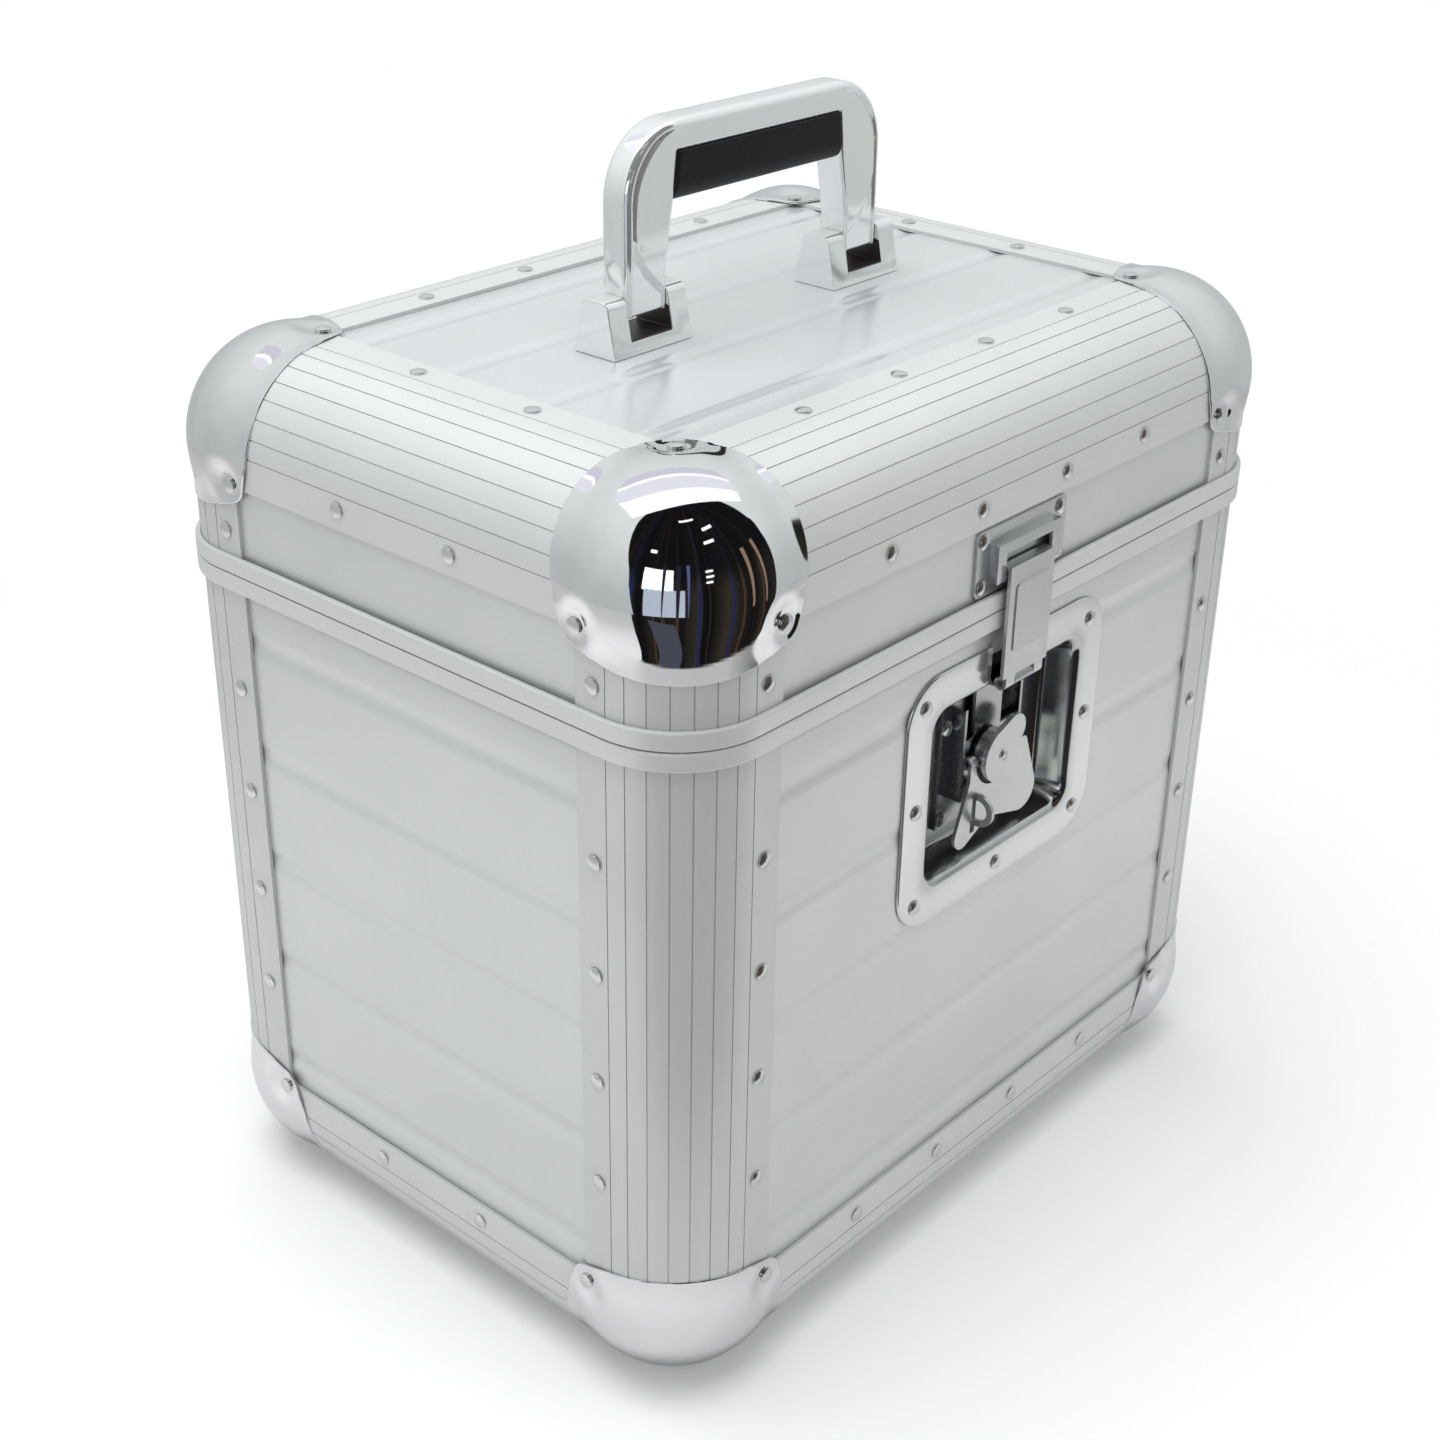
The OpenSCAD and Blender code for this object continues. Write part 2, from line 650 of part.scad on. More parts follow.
module base_corner() translate([-case_w / 2, -case_d / 2, 0]) corner_ball();
module base_corner_front_left() color("white") shell() base_corner();
module base_corner_front_right() color("white") shell() mirror([1, 0, 0]) base_corner();
module base_corner_back_left() color("white") shell() mirror([0, 1, 0]) base_corner();
module base_corner_back_right() color("white") shell() rotate(180) base_corner();
module top_corner_front_left() color("white") shell() to_lid() base_corner();
module top_corner_front_right() color("white") shell() to_lid() mirror([1, 0, 0]) base_corner();
module top_corner_back_left() color("white") shell() to_lid() mirror([0, 1, 0]) base_corner();
module top_corner_back_right() color("white") shell() to_lid() rotate(180) base_corner();

// ---- rivets ----

module body_rivets() color("white") shell() {
    body_rail_spots() rivet(0, shell_t);
    body_corner_spots() rivet(ear_t, shell_t);
    leaf_spots(-1) rivet(plate_out + leaf_t, inner_t);
    on_latch() {
        spots(dish_rivets) rivet(plate_out + dish_t, inner_t);
        spots(plate_rivets) rivet(plate_front, dish_t - pocket_floor);
    }
}

module lid_rivets() color("white") shell() {
    lid_rail_spots() rivet(0, shell_t);
    lid_corner_spots() rivet(ear_t, shell_t);
    leaf_spots(1) rivet(plate_out + leaf_t, inner_t);
    on_latch() spots(catch_rivets) rivet(catch_front, inner_t);
}

// ---- hinges ----

module hinge_places() on_back() for (s = [-1, 1]) translate([s * hinge_x, seam_z, 0]) children();

module barrel(first) for (i = [first:2:barrel_n - 1])
    translate([-hinge_w / 2 + i * segment + slide_gap / 2, 0, 0]) {
        translate([0, 0, barrel_out]) rotate([0, 90, 0]) cylinder(r = barrel_r, h = segment - slide_gap);
        translate([0, -barrel_r - slide_gap - 0.1, leaf_clear])
            cube([segment - slide_gap, barrel_r + slide_gap + 0.1, leaf_t]);
    }

// Leaf below the joint: plate on the skin, a step out past the bead, and barrel segments.
module hinge_leaf(first) difference() {
    union() {
        along_x() translate([0, 0, -hinge_w / 2]) linear_extrude(hinge_w) polygon([
            [-bead_h - leaf_gap - leaf_t - leaf_h, plate_out],
            [-bead_h - leaf_gap, plate_out],
            [-bead_h - leaf_gap, leaf_clear],
            [-barrel_r - slide_gap, leaf_clear],
            [-barrel_r - slide_gap, leaf_clear + leaf_t],
            [-bead_h - leaf_gap - leaf_t, leaf_clear + leaf_t],
            [-bead_h - leaf_gap - leaf_t, plate_out + leaf_t],
            [-bead_h - leaf_gap - leaf_t - leaf_h, plate_out + leaf_t]]);
        barrel(first);
    }
    translate([-hinge_w, 0, barrel_out]) rotate([0, 90, 0])
        cylinder(r = hinge_pin_r + running, h = 2 * hinge_w);
    for (x = [-1, 1]) for (h = [1, 3])
        translate([x * leaf_rivet_x, -bead_h - leaf_gap - leaf_t - h * leaf_rivet_h, 0]) rivet_hole();
}

module hinge_body_leaves() color("lightgray") shell() hinge_places() hinge_leaf(0);
module hinge_lid_leaves() color("lightgray") shell() hinge_places() mirror([0, 1, 0]) hinge_leaf(1);

module hinge_pins() color("gray") shell() hinge_places() translate([0, 0, barrel_out]) rotate([0, 90, 0]) {
    translate([0, 0, -hinge_w / 2]) cylinder(r = hinge_pin_r, h = hinge_w);
    for (z = [-hinge_w / 2 - 1, hinge_w / 2]) translate([0, 0, z]) cylinder(r = hinge_pin_r + 0.9, h = 1);
}

// ---- lining ----

module rounded_plate(w, d, r) {
    square([w - 2 * r, d], center = true);
    square([w, d - 2 * r], center = true);
    for (sx = [-1, 1]) for (sy = [-1, 1]) translate([sx * (w / 2 - r), sy * (d / 2 - r)]) circle(r);
}

pad_w = case_w - 2 * pad_inset;
pad_d = case_d - 2 * pad_inset;
pad_foot = shell_t + tail_h + soft_gap;

module base_pad() color("dimgray") shell() translate([0, 0, pad_foot]) linear_extrude(pad_t)
    rounded_plate(pad_w, pad_d, pad_r);

// The lid's pad has a window round each backing plate.
module lid_pad() color("dimgray") shell() translate([0, 0, case_h - pad_foot - pad_t]) linear_extrude(pad_t)
    difference() {
        rounded_plate(pad_w, pad_d, pad_r);
        for (s = [-1, 1]) translate([s * leg_x, 0]) square([back_w + 4, back_d + 4], center = true);
    }

// ---- handle ----

module on_lid() translate([0, 0, case_h]) children();

module handle_base() difference() {
    rotate([90, 0, 90]) translate([0, 0, -base_w / 2]) linear_extrude(base_w) union() {
        polygon([
            [-base_d / 2, plate_out],
            [base_d / 2, plate_out],
            [ear_d / 2, pivot_h],
            [-ear_d / 2, pivot_h]]);
        for (s = [-1, 1]) translate([s * (ear_d / 2 - ear_r), pivot_h]) circle(ear_r);
        translate([ear_r - ear_d / 2, pivot_h]) square([ear_d - 2 * ear_r, ear_r]);
    }
    translate([-slot_w / 2, -base_d, sill_h]) cube([slot_w, 2 * base_d, 2 * pivot_h]);
    // the pin is driven in from the right and stops inside the left ear
    translate([ear_skin - base_w / 2, 0, pivot_h]) rotate([0, 90, 0])
        cylinder(r = handle_pin_r + running, h = base_w);
    for (x = [-screw_x, screw_x]) translate([x, 0, plate_out - 1]) cylinder(r = screw_r + running, h = 10);
}

module handle_base_left() color("white") shell() on_lid() translate([-leg_x, 0, 0]) handle_base();
module handle_base_right() color("white") shell() on_lid() translate([leg_x, 0, 0]) handle_base();

module handle_pins() color("gray") shell() on_lid() for (s = [-1, 1])
    translate([s * leg_x - base_w / 2 + ear_skin + fixed_gap, 0, pivot_h]) rotate([0, 90, 0])
        cylinder(r = handle_pin_r, h = base_w - ear_skin - 2 * fixed_gap);

module handle_backing_plates() color("lightgray") shell() on_lid() difference() {
    for (s = [-1, 1]) translate([s * leg_x - back_w / 2, -back_d / 2, -inner_t - back_t])
        cube([back_w, back_d, back_t]);
    for (s = [-1, 1]) for (x = [-screw_x, screw_x]) translate([s * leg_x + x, 0, -20])
        cylinder(r = screw_r + fixed_gap, h = 20);
}

module handle_screws() color("gray") shell() on_lid() for (s = [-1, 1]) for (x = [-screw_x, screw_x])
    translate([s * leg_x + x, 0, -inner_t - back_t]) {
        cylinder(r = screw_r, h = inner_t + back_t + plate_out + 8);
        translate([0, 0, -screw_head_h]) cylinder(r = screw_head_r, h = screw_head_h);
    }

// A rounded arch with legs that widen towards the grip.
module handle_bow() color("white") shell() on_lid() difference() {
    translate([0, bow_t / 2, 0]) rotate([90, 0, 0]) linear_extrude(bow_t) difference() {
        union() {
            translate([-bow_w / 2, pivot_h - leg_end]) square([bow_w, bow_h - bow_r - pivot_h + leg_end]);
            translate([bow_r - bow_w / 2, bow_h - bow_r - 1]) square([bow_w - 2 * bow_r, bow_r + 1]);
            for (s = [-1, 1]) translate([s * (bow_w / 2 - bow_r), bow_h - bow_r]) circle(bow_r);
        }
        polygon([
            [leg_w - bow_w / 2, 0],
            [leg_w - bow_w / 2, pivot_h + 10],
            [leg_top_w - 2 - bow_w / 2, grip_foot],
            [leg_top_w - bow_w / 2, grip_top],
            [bow_w / 2 - leg_top_w, grip_top],
            [bow_w / 2 - leg_top_w + 2, grip_foot],
            [bow_w / 2 - leg_w, pivot_h + 10],
            [bow_w / 2 - leg_w, 0]]);
    }
    translate([-bow_w, 0, pivot_h]) rotate([0, 90, 0]) cylinder(r = handle_pin_r + running, h = 2 * bow_w);
}

// Grip: flat sides with a round underside, its ends cut to the slope of the legs.
module handle_grip() color("black") shell() on_lid() intersection() {
    translate([0, grip_t / 2, 0]) rotate([90, 0, 0]) linear_extrude(grip_t) polygon([
        [leg_top_w - 2 - bow_w / 2 + fixed_gap, grip_foot],
        [leg_top_w - bow_w / 2 + fixed_gap, grip_top - fixed_gap],
        [bow_w / 2 - leg_top_w - fixed_gap, grip_top - fixed_gap],
        [bow_w / 2 - leg_top_w + 2 - fixed_gap, grip_foot]]);
    along_x() translate([0, 0, -bow_w / 2]) linear_extrude(bow_w) {
        translate([0, grip_foot + grip_t / 2]) circle(grip_t / 2);
        translate([-grip_t / 2, grip_foot + grip_t / 2]) square([grip_t, grip_h]);
    }
}

// ---- latch ----

// Rounded rectangular frustum from the mouth down to the floor, grown by wall all round.
module pocket(wall) translate([0, dish_y, 0]) hull() {
    translate([0, 0, plate_out]) linear_extrude(0.2)
        rounded_plate(pocket_w + 2 * wall, pocket_h + 2 * wall, 9 + wall, $fn = 32);
    translate([0, 0, pocket_floor - wall]) linear_extrude(0.2)
        rounded_plate(floor_w + 2 * wall, floor_h + 2 * wall, 6 + wall, $fn = 32);
}

module latch_dish() color("white") shell() on_latch() difference() {
    union() {
        translate([0, dish_y, plate_out]) linear_extrude(dish_t) rounded_plate(dish_w, dish_h, dish_r);
        pocket(dish_t);
    }
    pocket(0);
    translate([0, dish_y, plate_out]) linear_extrude(5) rounded_plate(pocket_w, pocket_h, 9, $fn = 32);
    // way through the upper wall for the link, and a notch in the flange behind the hook
    translate([-neck_w / 2 - 1, 0, link_z - 0.7]) cube([neck_w + 2, hook_y + lift - 0.5, 20]);
    translate([-notch_w / 2, dish_y + pocket_h / 2 - 2.5, plate_out - 2.5]) cube([notch_w, 30, 20]);
    spots(dish_rivets) rivet_hole();
    spots(plate_rivets) rivet_hole();
    translate([0, 0, -20]) cylinder(r = shaft_r + slide_gap, h = 20);
}

module latch_plate() color("lightgray") shell() on_latch() difference() {
    union() {
        translate([-plate_w / 2, -plate_h / 2, pocket_floor + fixed_gap / 2])
            cube([plate_w, plate_h, plate_t - fixed_gap / 2]);
        for (s = [-1, 1]) translate([s * (guide_x + plate_t / 2) - plate_t / 2, -16, pocket_floor + 1])
            cube([plate_t, 40, guide_top - pocket_floor - 1]);
    }
    spots(plate_rivets) rivet_hole();
    translate([0, 0, -20]) cylinder(r = shaft_r + running, h = 20);
}

module key_spindle() color("white") shell() on_latch() difference() {
    union() {
        translate([0, 0, disc_back]) linear_extrude(disc_t) {
            circle(disc_r);
            translate([cap_x, cap_y]) circle(cap_r);
            polygon([
                [0, 0],
                disc_r * [cos(cap_lean), sin(cap_lean)],
                [cap_x, cap_y] + cap_r * [cos(cap_lean), sin(cap_lean)],
                [cap_x, cap_y]]);
        }
        translate([0, 0, wing_z - 1.6]) cylinder(r = disc_r - 2, h = disc_back - wing_z + 1.6);
        translate([0, -cam_throw, link_z - 0.5]) cylinder(r = cam_r, h = wing_z - 1.6 - link_z + 0.5);
        translate([0, 0, pocket_floor - dish_t - 0.5]) cylinder(r = shaft_r, h = pocket_t);
        translate([0, 0, pocket_floor - dish_t - 1.7]) cylinder(r = shaft_r + 1.5, h = 1.4);
    }
    translate([-disc_r, 0, wing_z]) rotate([0, 90, 0]) cylinder(r = wing_pin_r + running, h = 2 * disc_r);
}

module wing_pin() color("gray") shell() on_latch() translate([-wing_out + 0.3, 0, wing_z]) rotate([0, 90, 0])
    cylinder(r = wing_pin_r, h = 2 * wing_out - 0.6);

module lobe(x, y, r) translate([x, y]) circle(r, $fn = 32);

// Butterfly wing, folded down: two arms at the pin, a broad lobe and a finger with the padlock eye.
module wing_plate() color("white") shell() on_latch() difference() {
    union() {
        translate([0, 0, wing_back]) linear_extrude(plate_t) difference() {
            union() {
                hull() {
                    lobe(wing_out + 2, -3, 3);
                    lobe(20.5, -25, 9);
                    lobe(0, -20, 8);
                    lobe(3 - wing_out, -6, 3);
                }
                hull() {
                    lobe(4 - wing_out, -8, 4);
                    lobe(-19, -30, 5.4);
                    lobe(-5, -22, 6);
                }
                for (s = [-1, 1]) translate([s * (wing_in + wing_out) / 2 - 1.95, -8]) square([3.9, 8]);
            }
            circle(wing_cut_r);
            translate([-wing_in, -4]) square([2 * wing_in, 20]);
            translate([eye_x - slot_w_wing, eye_y - eye_r - 2.4]) square([slot_w_wing, 2 * eye_r + 3]);
        }
        for (s = [-1, 1]) translate([s * (wing_in + wing_out) / 2 - 1.95, 0, wing_z]) rotate([0, 90, 0])
            cylinder(r = wing_boss_r, h = 3.9);
        along_x() translate([0, 0, eye_x]) linear_extrude(plate_t) {
            difference() {
                translate([eye_y, eye_z]) circle(eye_r);
                translate([eye_y - 2 * eye_r, eye_z - 4 * eye_r]) square(4 * eye_r);
            }
            translate([eye_y - eye_r, wing_back + 0.3]) square([2 * eye_r, eye_z - wing_back - 0.3]);
        }
    }
    translate([-30, 0, wing_z]) rotate([0, 90, 0]) cylinder(r = wing_pin_r + running, h = 60);
    // half-round hole of the staple, above the plate
    along_x() translate([0, 0, eye_x - 1]) linear_extrude(plate_t + 2) difference() {
        translate([eye_y, eye_z]) circle(eye_bore_r);
        translate([eye_y - 10, wing_back + plate_t - 20]) square(20);
    }
}

module hook_pin_hole() translate([-hook_barrel_w, hook_y, hook_z]) rotate([0, 90, 0])
    cylinder(r = hook_pin_r + running, h = 2 * hook_barrel_w);

// Link: a yoke round the cam, a neck up to the dish's rim and the middle of the hook's hinge.
module hook_link() color("lightgray") shell() on_latch() difference() {
    union() {
        translate([-link_w / 2, -12.5, link_z]) cube([link_w, 20.5, plate_t]);
        translate([-neck_w / 2, 7, link_z]) cube([neck_w, hook_y - hook_barrel_r - 6.5, plate_t]);
        translate([-neck_w / 2, hook_y - hook_barrel_r - 1, link_z])
            cube([neck_w, plate_t, hook_z - hook_barrel_r - 0.5 - link_z]);
        translate([-hook_barrel_w / 4, hook_y - hook_barrel_r - 1, link_z])
            cube([hook_barrel_w / 2, plate_t, hook_z - link_z]);
        translate([-hook_barrel_w / 4, hook_y, hook_z]) rotate([0, 90, 0])
            cylinder(r = hook_barrel_r, h = hook_barrel_w / 2);
    }
    translate([-cam_throw - cam_r - 0.4, -cam_throw - window_y, -20])
        cube([2 * (cam_throw + cam_r + 0.4), 2 * window_y, 40]);
    hook_pin_hole();
}

module hook_pin() color("gray") shell() on_latch() translate([-hook_barrel_w / 2, hook_y, hook_z])
    rotate([0, 90, 0]) cylinder(r = hook_pin_r, h = hook_barrel_w);

// Hook: a strap over the joint with a raised panel, and a tab that turns in through the catch.
module hook_strap() color("white") shell() on_latch() difference() {
    union() {
        translate([-hook_w / 2, hook_y + hook_barrel_r + slide_gap, hook_front - plate_t])
            cube([hook_w, hook_top - hook_y - hook_barrel_r - slide_gap, plate_t]);
        for (s = [-1, 1]) translate([s * (3 * hook_barrel_w / 8 + slide_gap / 2), 0, 0]) {
            w = hook_barrel_w / 4 - slide_gap;
            translate([-w / 2, hook_y, hook_z]) rotate([0, 90, 0]) cylinder(r = hook_barrel_r, h = w);
            translate([-w / 2, hook_y, hook_front - plate_t]) cube([w, 2 * hook_barrel_r, plate_t]);
        }
        translate([0, (hook_y + hook_top) / 2 + 2.5, hook_front - 0.5]) linear_extrude(1)
            rounded_plate(20, 28, 2);
        translate([-hook_w / 2, hook_top - plate_t, catch_front + 0.9])
            cube([hook_w, plate_t, hook_front - catch_front - 1]);
    }
    hook_pin_hole();
}

// Catch: a riveted plate with a hollow bridge, whose slot takes the hook's tab above a ledge.
module catch_plate() color("white") shell() on_latch() {
    foot = hook_top - plate_t - 4;
    ledge = hook_top - plate_t - slide_gap;
    head = hook_top + lift + 0.6;
    difference() {
        union() {
            translate([0, catch_y + catch_h / 2, plate_out]) linear_extrude(1.2)
                rounded_plate(catch_w, catch_h, 2.5);
            translate([-bridge_w / 2, foot, plate_out])
                cube([bridge_w, head + 4 - foot, bridge_front - plate_out]);
        }
        translate([-bridge_w / 2 + bridge_t, foot + bridge_t, catch_front])
            cube([
                bridge_w - 2 * bridge_t,
                head + 4 - foot - 2 * bridge_t,
                bridge_front - bridge_t - catch_front]);
        translate([-hook_w / 2 - 0.5, ledge, catch_front]) cube([hook_w + 1, head - ledge, 20]);
        spots(catch_rivets) rivet_hole();
    }
}

base_panel();
front_panel();
back_panel();
left_panel();
right_panel();
base_skin();
front_skin();
back_skin();
side_skins();
post_front_left();
post_front_right();
post_back_left();
post_back_right();
base_rail_front();
base_rail_back();
base_rail_left();
base_rail_right();
body_frame();
base_corner_front_left();
base_corner_front_right();
base_corner_back_left();
base_corner_back_right();
body_rivets();
latch_dish();
latch_plate();
hinge_body_leaves();
hinge_pins();
base_pad();
lid_top_panel();
lid_side_panels();
lid_top_skin();
lid_side_skins();
lid_posts();
top_rail_front();
top_rail_back();
top_rail_left();
top_rail_right();
lid_frame();
top_corner_front_left();
top_corner_front_right();
top_corner_back_left();
top_corner_back_right();
lid_rivets();
catch_plate();
handle_base_left();
handle_base_right();
handle_pins();
handle_screws();
handle_backing_plates();
hinge_lid_leaves();
lid_pad();
handle_bow();
handle_grip();
hook_link();
hook_pin();
hook_strap();
key_spindle();
wing_pin();
wing_plate();
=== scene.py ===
import json
import math

import bmesh
import bpy
import numpy as np
from mathutils import Matrix, Vector


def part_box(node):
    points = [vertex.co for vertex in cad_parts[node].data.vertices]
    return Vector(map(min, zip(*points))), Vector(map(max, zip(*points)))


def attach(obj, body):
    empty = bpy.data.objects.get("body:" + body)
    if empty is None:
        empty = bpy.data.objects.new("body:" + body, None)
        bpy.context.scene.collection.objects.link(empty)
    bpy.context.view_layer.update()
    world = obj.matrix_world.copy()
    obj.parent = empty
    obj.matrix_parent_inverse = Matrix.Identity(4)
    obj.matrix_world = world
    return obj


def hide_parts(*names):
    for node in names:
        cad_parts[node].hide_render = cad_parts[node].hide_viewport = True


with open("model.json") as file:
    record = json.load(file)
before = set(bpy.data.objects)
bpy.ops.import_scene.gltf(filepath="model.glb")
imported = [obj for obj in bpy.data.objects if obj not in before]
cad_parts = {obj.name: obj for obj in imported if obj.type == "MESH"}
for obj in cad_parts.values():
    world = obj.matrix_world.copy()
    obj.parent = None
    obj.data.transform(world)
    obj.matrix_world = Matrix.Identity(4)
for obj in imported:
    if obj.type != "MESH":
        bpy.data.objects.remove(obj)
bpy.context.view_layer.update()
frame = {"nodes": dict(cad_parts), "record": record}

nodes = frame["nodes"]
mm = 0.001
scene = bpy.context.scene

# the case in millimetres: outer size over the rails, and lift of the rails above the floor
case = {"width": 370.0, "depth": 274.0, "height": 368.4, "lift": 2.85}
sharpAngle = 35  # degrees between two faces, from which their edge counts as one to be rounded
sheetRim = {"segments": 2, "angle": 50}
# metres within which points are one, the length of an edge that is dropped, and degrees between plain faces
merging = {"built": 2e-6, "copied": 1e-6, "thin": 1e-7, "plain": 0.4}
print("frame loaded:", len(nodes), "nodes")


def gridFaces(rows, columns, closeColumns):
    # quads between the neighbours of a rows x columns grid of points
    index = np.arange(rows * columns).reshape(rows, columns)
    if closeColumns:
        index = np.hstack([index, index[:, :1]])
    corners = [index[:-1, :-1], index[1:, :-1], index[1:, 1:], index[:-1, 1:]]
    return np.stack(corners, axis=-1).reshape(-1, 4)


def patch(points, facing=None, closeColumns=False, drop=None):
    # a grid of points becomes a sheet of quads whose summed normal looks along facing
    rows, columns = points.shape[:2]
    faces = gridFaces(rows, columns, closeColumns)
    flat = points.reshape(-1, 3)
    if drop is not None:
        faces = faces[~drop(flat[faces].mean(axis=1))]
    if facing is not None:
        quad = flat[faces]
        normal = np.cross(quad[:, 2] - quad[:, 0], quad[:, 3] - quad[:, 1]).sum(axis=0)
        if normal @ np.array(facing, float) < 0:
            faces = faces[:, ::-1]
    return flat, faces


def tubeOf(rings):
    # closed rings in a row, both ends drawn together to their centres
    ends = [np.repeat(rings[i].mean(axis=0)[None], rings.shape[1], axis=0)[None] for i in (0, -1)]
    return patch(np.concatenate([ends[0], rings, ends[1]]), closeColumns=True)


def placePiece(name, mesh):
    # a smooth piece at the origin, with its place in its mesh
    mesh.polygons.foreach_set("use_smooth", np.ones(len(mesh.polygons), bool))
    piece = bpy.data.objects.new(name, mesh)
    scene.collection.objects.link(piece)
    return piece


def buildPiece(name, patches, closed=False):
    # patches joined into one mesh in metres, doubles merged, closed shells turned outwards
    points, faces, start = [], [], 0
    for flat, quads in patches:
        points.append(flat)
        faces.append(quads + start)
        start += len(flat)
    mesh = bpy.data.meshes.new(name)
    mesh.from_pydata((np.vstack(points) * mm).tolist(), [], np.vstack(faces).tolist())
    work = bmesh.new()
    work.from_mesh(mesh)
    bmesh.ops.remove_doubles(work, verts=work.verts, dist=merging["built"])
    bmesh.ops.dissolve_degenerate(work, edges=work.edges, dist=merging["thin"])
    if closed:
        bmesh.ops.recalc_face_normals(work, faces=work.faces)
    work.to_mesh(mesh)
    work.free()
    return placePiece(name, mesh)


def roundEdges(piece, width, segments=3, angle=sharpAngle):
    # a round of that width, in millimetres, along each edge that is sharper than the angle
    bevel = piece.modifiers.new("rounded edges", "BEVEL")
    bevel.width = width * mm
    bevel.segments = segments
    bevel.limit_method = "ANGLE"
    bevel.angle_limit = math.radians(angle)
    bevel.harden_normals = True
    bevel.use_clamp_overlap = True


def thicken(piece, thickness, edge=0.0):
    # a sheet gets its thickness away from its face, and its rims get a small round
    solid = piece.modifiers.new("thickness", "SOLIDIFY")
    solid.thickness = thickness * mm
    solid.offset = -1
    if edge:
        roundEdges(piece, edge, **sheetRim)


def softenedCopy(nodeName, name, width):
    # a copy of a pressed or cast part, its triangles merged to plain faces, with rounded edges
    mesh = nodes[nodeName].data.copy()
    mesh.name = name
    work = bmesh.new()
    work.from_mesh(mesh)
    bmesh.ops.remove_doubles(work, verts=work.verts, dist=merging["copied"])
    plain = math.radians(merging["plain"])
    bmesh.ops.dissolve_limit(work, angle_limit=plain, verts=work.verts, edges=work.edges)
    work.to_mesh(mesh)
    work.free()
    mesh.materials.clear()
    piece = placePiece(name, mesh)
    mesh.set_sharp_from_angle(angle=math.radians(sharpAngle))
    roundEdges(piece, width)
    return piece


def finishPiece(piece, body, slot, finish, *replaced):
    # its material, the body that carries it, and the CAD nodes that it stands for; slot is not used
    piece.data.materials.append(finishes[finish])
    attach(piece, body)
    if replaced:
        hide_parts(*replaced)


def feed(tree, socket, value):
    # a socket takes a link from another socket, or a plain value
    if isinstance(value, bpy.types.NodeSocket):
        tree.links.new(value, socket)
    else:
        socket.default_value = value


def addNode(tree, kind, values=(), **sockets):
    # a node with its properties set and its sockets fed by name
    made = tree.nodes.new(kind)
    for key, value in dict(values).items():
        setattr(made, key, value)
    for label, value in sockets.items():
        feed(tree, made.inputs[label], value)
    return made


def feedSlots(tree, made, slots):
    # sockets that share a name are fed by their number
    for slot, value in slots.items():
        feed(tree, made.inputs[slot], value)
    return made


def maths(tree, operation, *terms):
    # one operation on its terms, sockets or plain values
    made = addNode(tree, "ShaderNodeMath", {"operation": operation})
    return feedSlots(tree, made, dict(enumerate(terms))).outputs[0]


def stretched(tree, value, low, high, newLow=0.0, newHigh=1.0, curve="LINEAR"):
    # the value's range from low to high laid onto another range and held at its ends
    made = addNode(tree, "ShaderNodeMapRange", {"interpolation_type": curve})
    return feedSlots(tree, made, {0: value, 1: low, 2: high, 3: newLow, 4: newHigh}).outputs[0]


def mixed(tree, share, first, second, kind="RGBA"):
    # the first where the share is nought and the second where it is one: colours, or plain values for FLOAT
    made = addNode(tree, "ShaderNodeMix", {"data_type": kind})
    low, high, result = (6, 7, 2) if kind == "RGBA" else (2, 3, 0)
    return feedSlots(tree, made, {0: share, low: first, high: second}).outputs[result]


def noise(tree, place, scale, detail, distortion=0.0):
    # smooth noise about a half, finer with the scale
    return addNode(tree, "ShaderNodeTexNoise", Vector=place, Scale=scale, Detail=detail,
                   Distortion=distortion).outputs["Fac"]


def newGroup(name, inputs, outputs):
    # a node group with its named sockets, and the two ends inside it
    group = bpy.data.node_groups.new(name, "ShaderNodeTree")
    vector = group.interface.new_socket(name="Vector", in_out="INPUT", socket_type="NodeSocketVector")
    vector.default_value = (0, 0, 0)
    for label, value in inputs.items():
        socket = group.interface.new_socket(name=label, in_out="INPUT", socket_type="NodeSocketFloat")
        socket.default_value = value
    for label in outputs:
        group.interface.new_socket(name=label, in_out="OUTPUT", socket_type="NodeSocketFloat")
    return group, group.nodes.new("NodeGroupInput").outputs, group.nodes.new("NodeGroupOutput").inputs


# each noise here and below is (scale, detail) or (scale, detail, distortion)
grain = {"fineDetail": 2.0, "wide": (14.0, 3.0), "wideShare": 0.45, "band": (0.3, 0.7), "depth": 0.0001}
handling = {"cloud": (22.0, 5.0, 0.4), "cloudBand": (0.5, 0.78), "hair": (160.0, 3.0, 6.0),
            "hairBand": (0.66, 0.72), "tintBand": (0.25, 0.75), "rougher": 0.12}


def makeGrainGroup():
    # rolled or blasted grain: fine noise, softened by a broader one, between low and high
    group, start, end = newGroup("metal grain", {"Scale": 3000.0, "Low": 0.3, "High": 0.4}, ["Value", "Fine"])
    fine = noise(group, start["Vector"], start["Scale"], grain["fineDetail"])
    wide = noise(group, start["Vector"], *grain["wide"])
    blend = mixed(group, grain["wideShare"], fine, wide, "FLOAT")
    feed(group, end["Value"], stretched(group, blend, *grain["band"], start["Low"], start["High"]))
    feed(group, end["Fine"], fine)
    return group


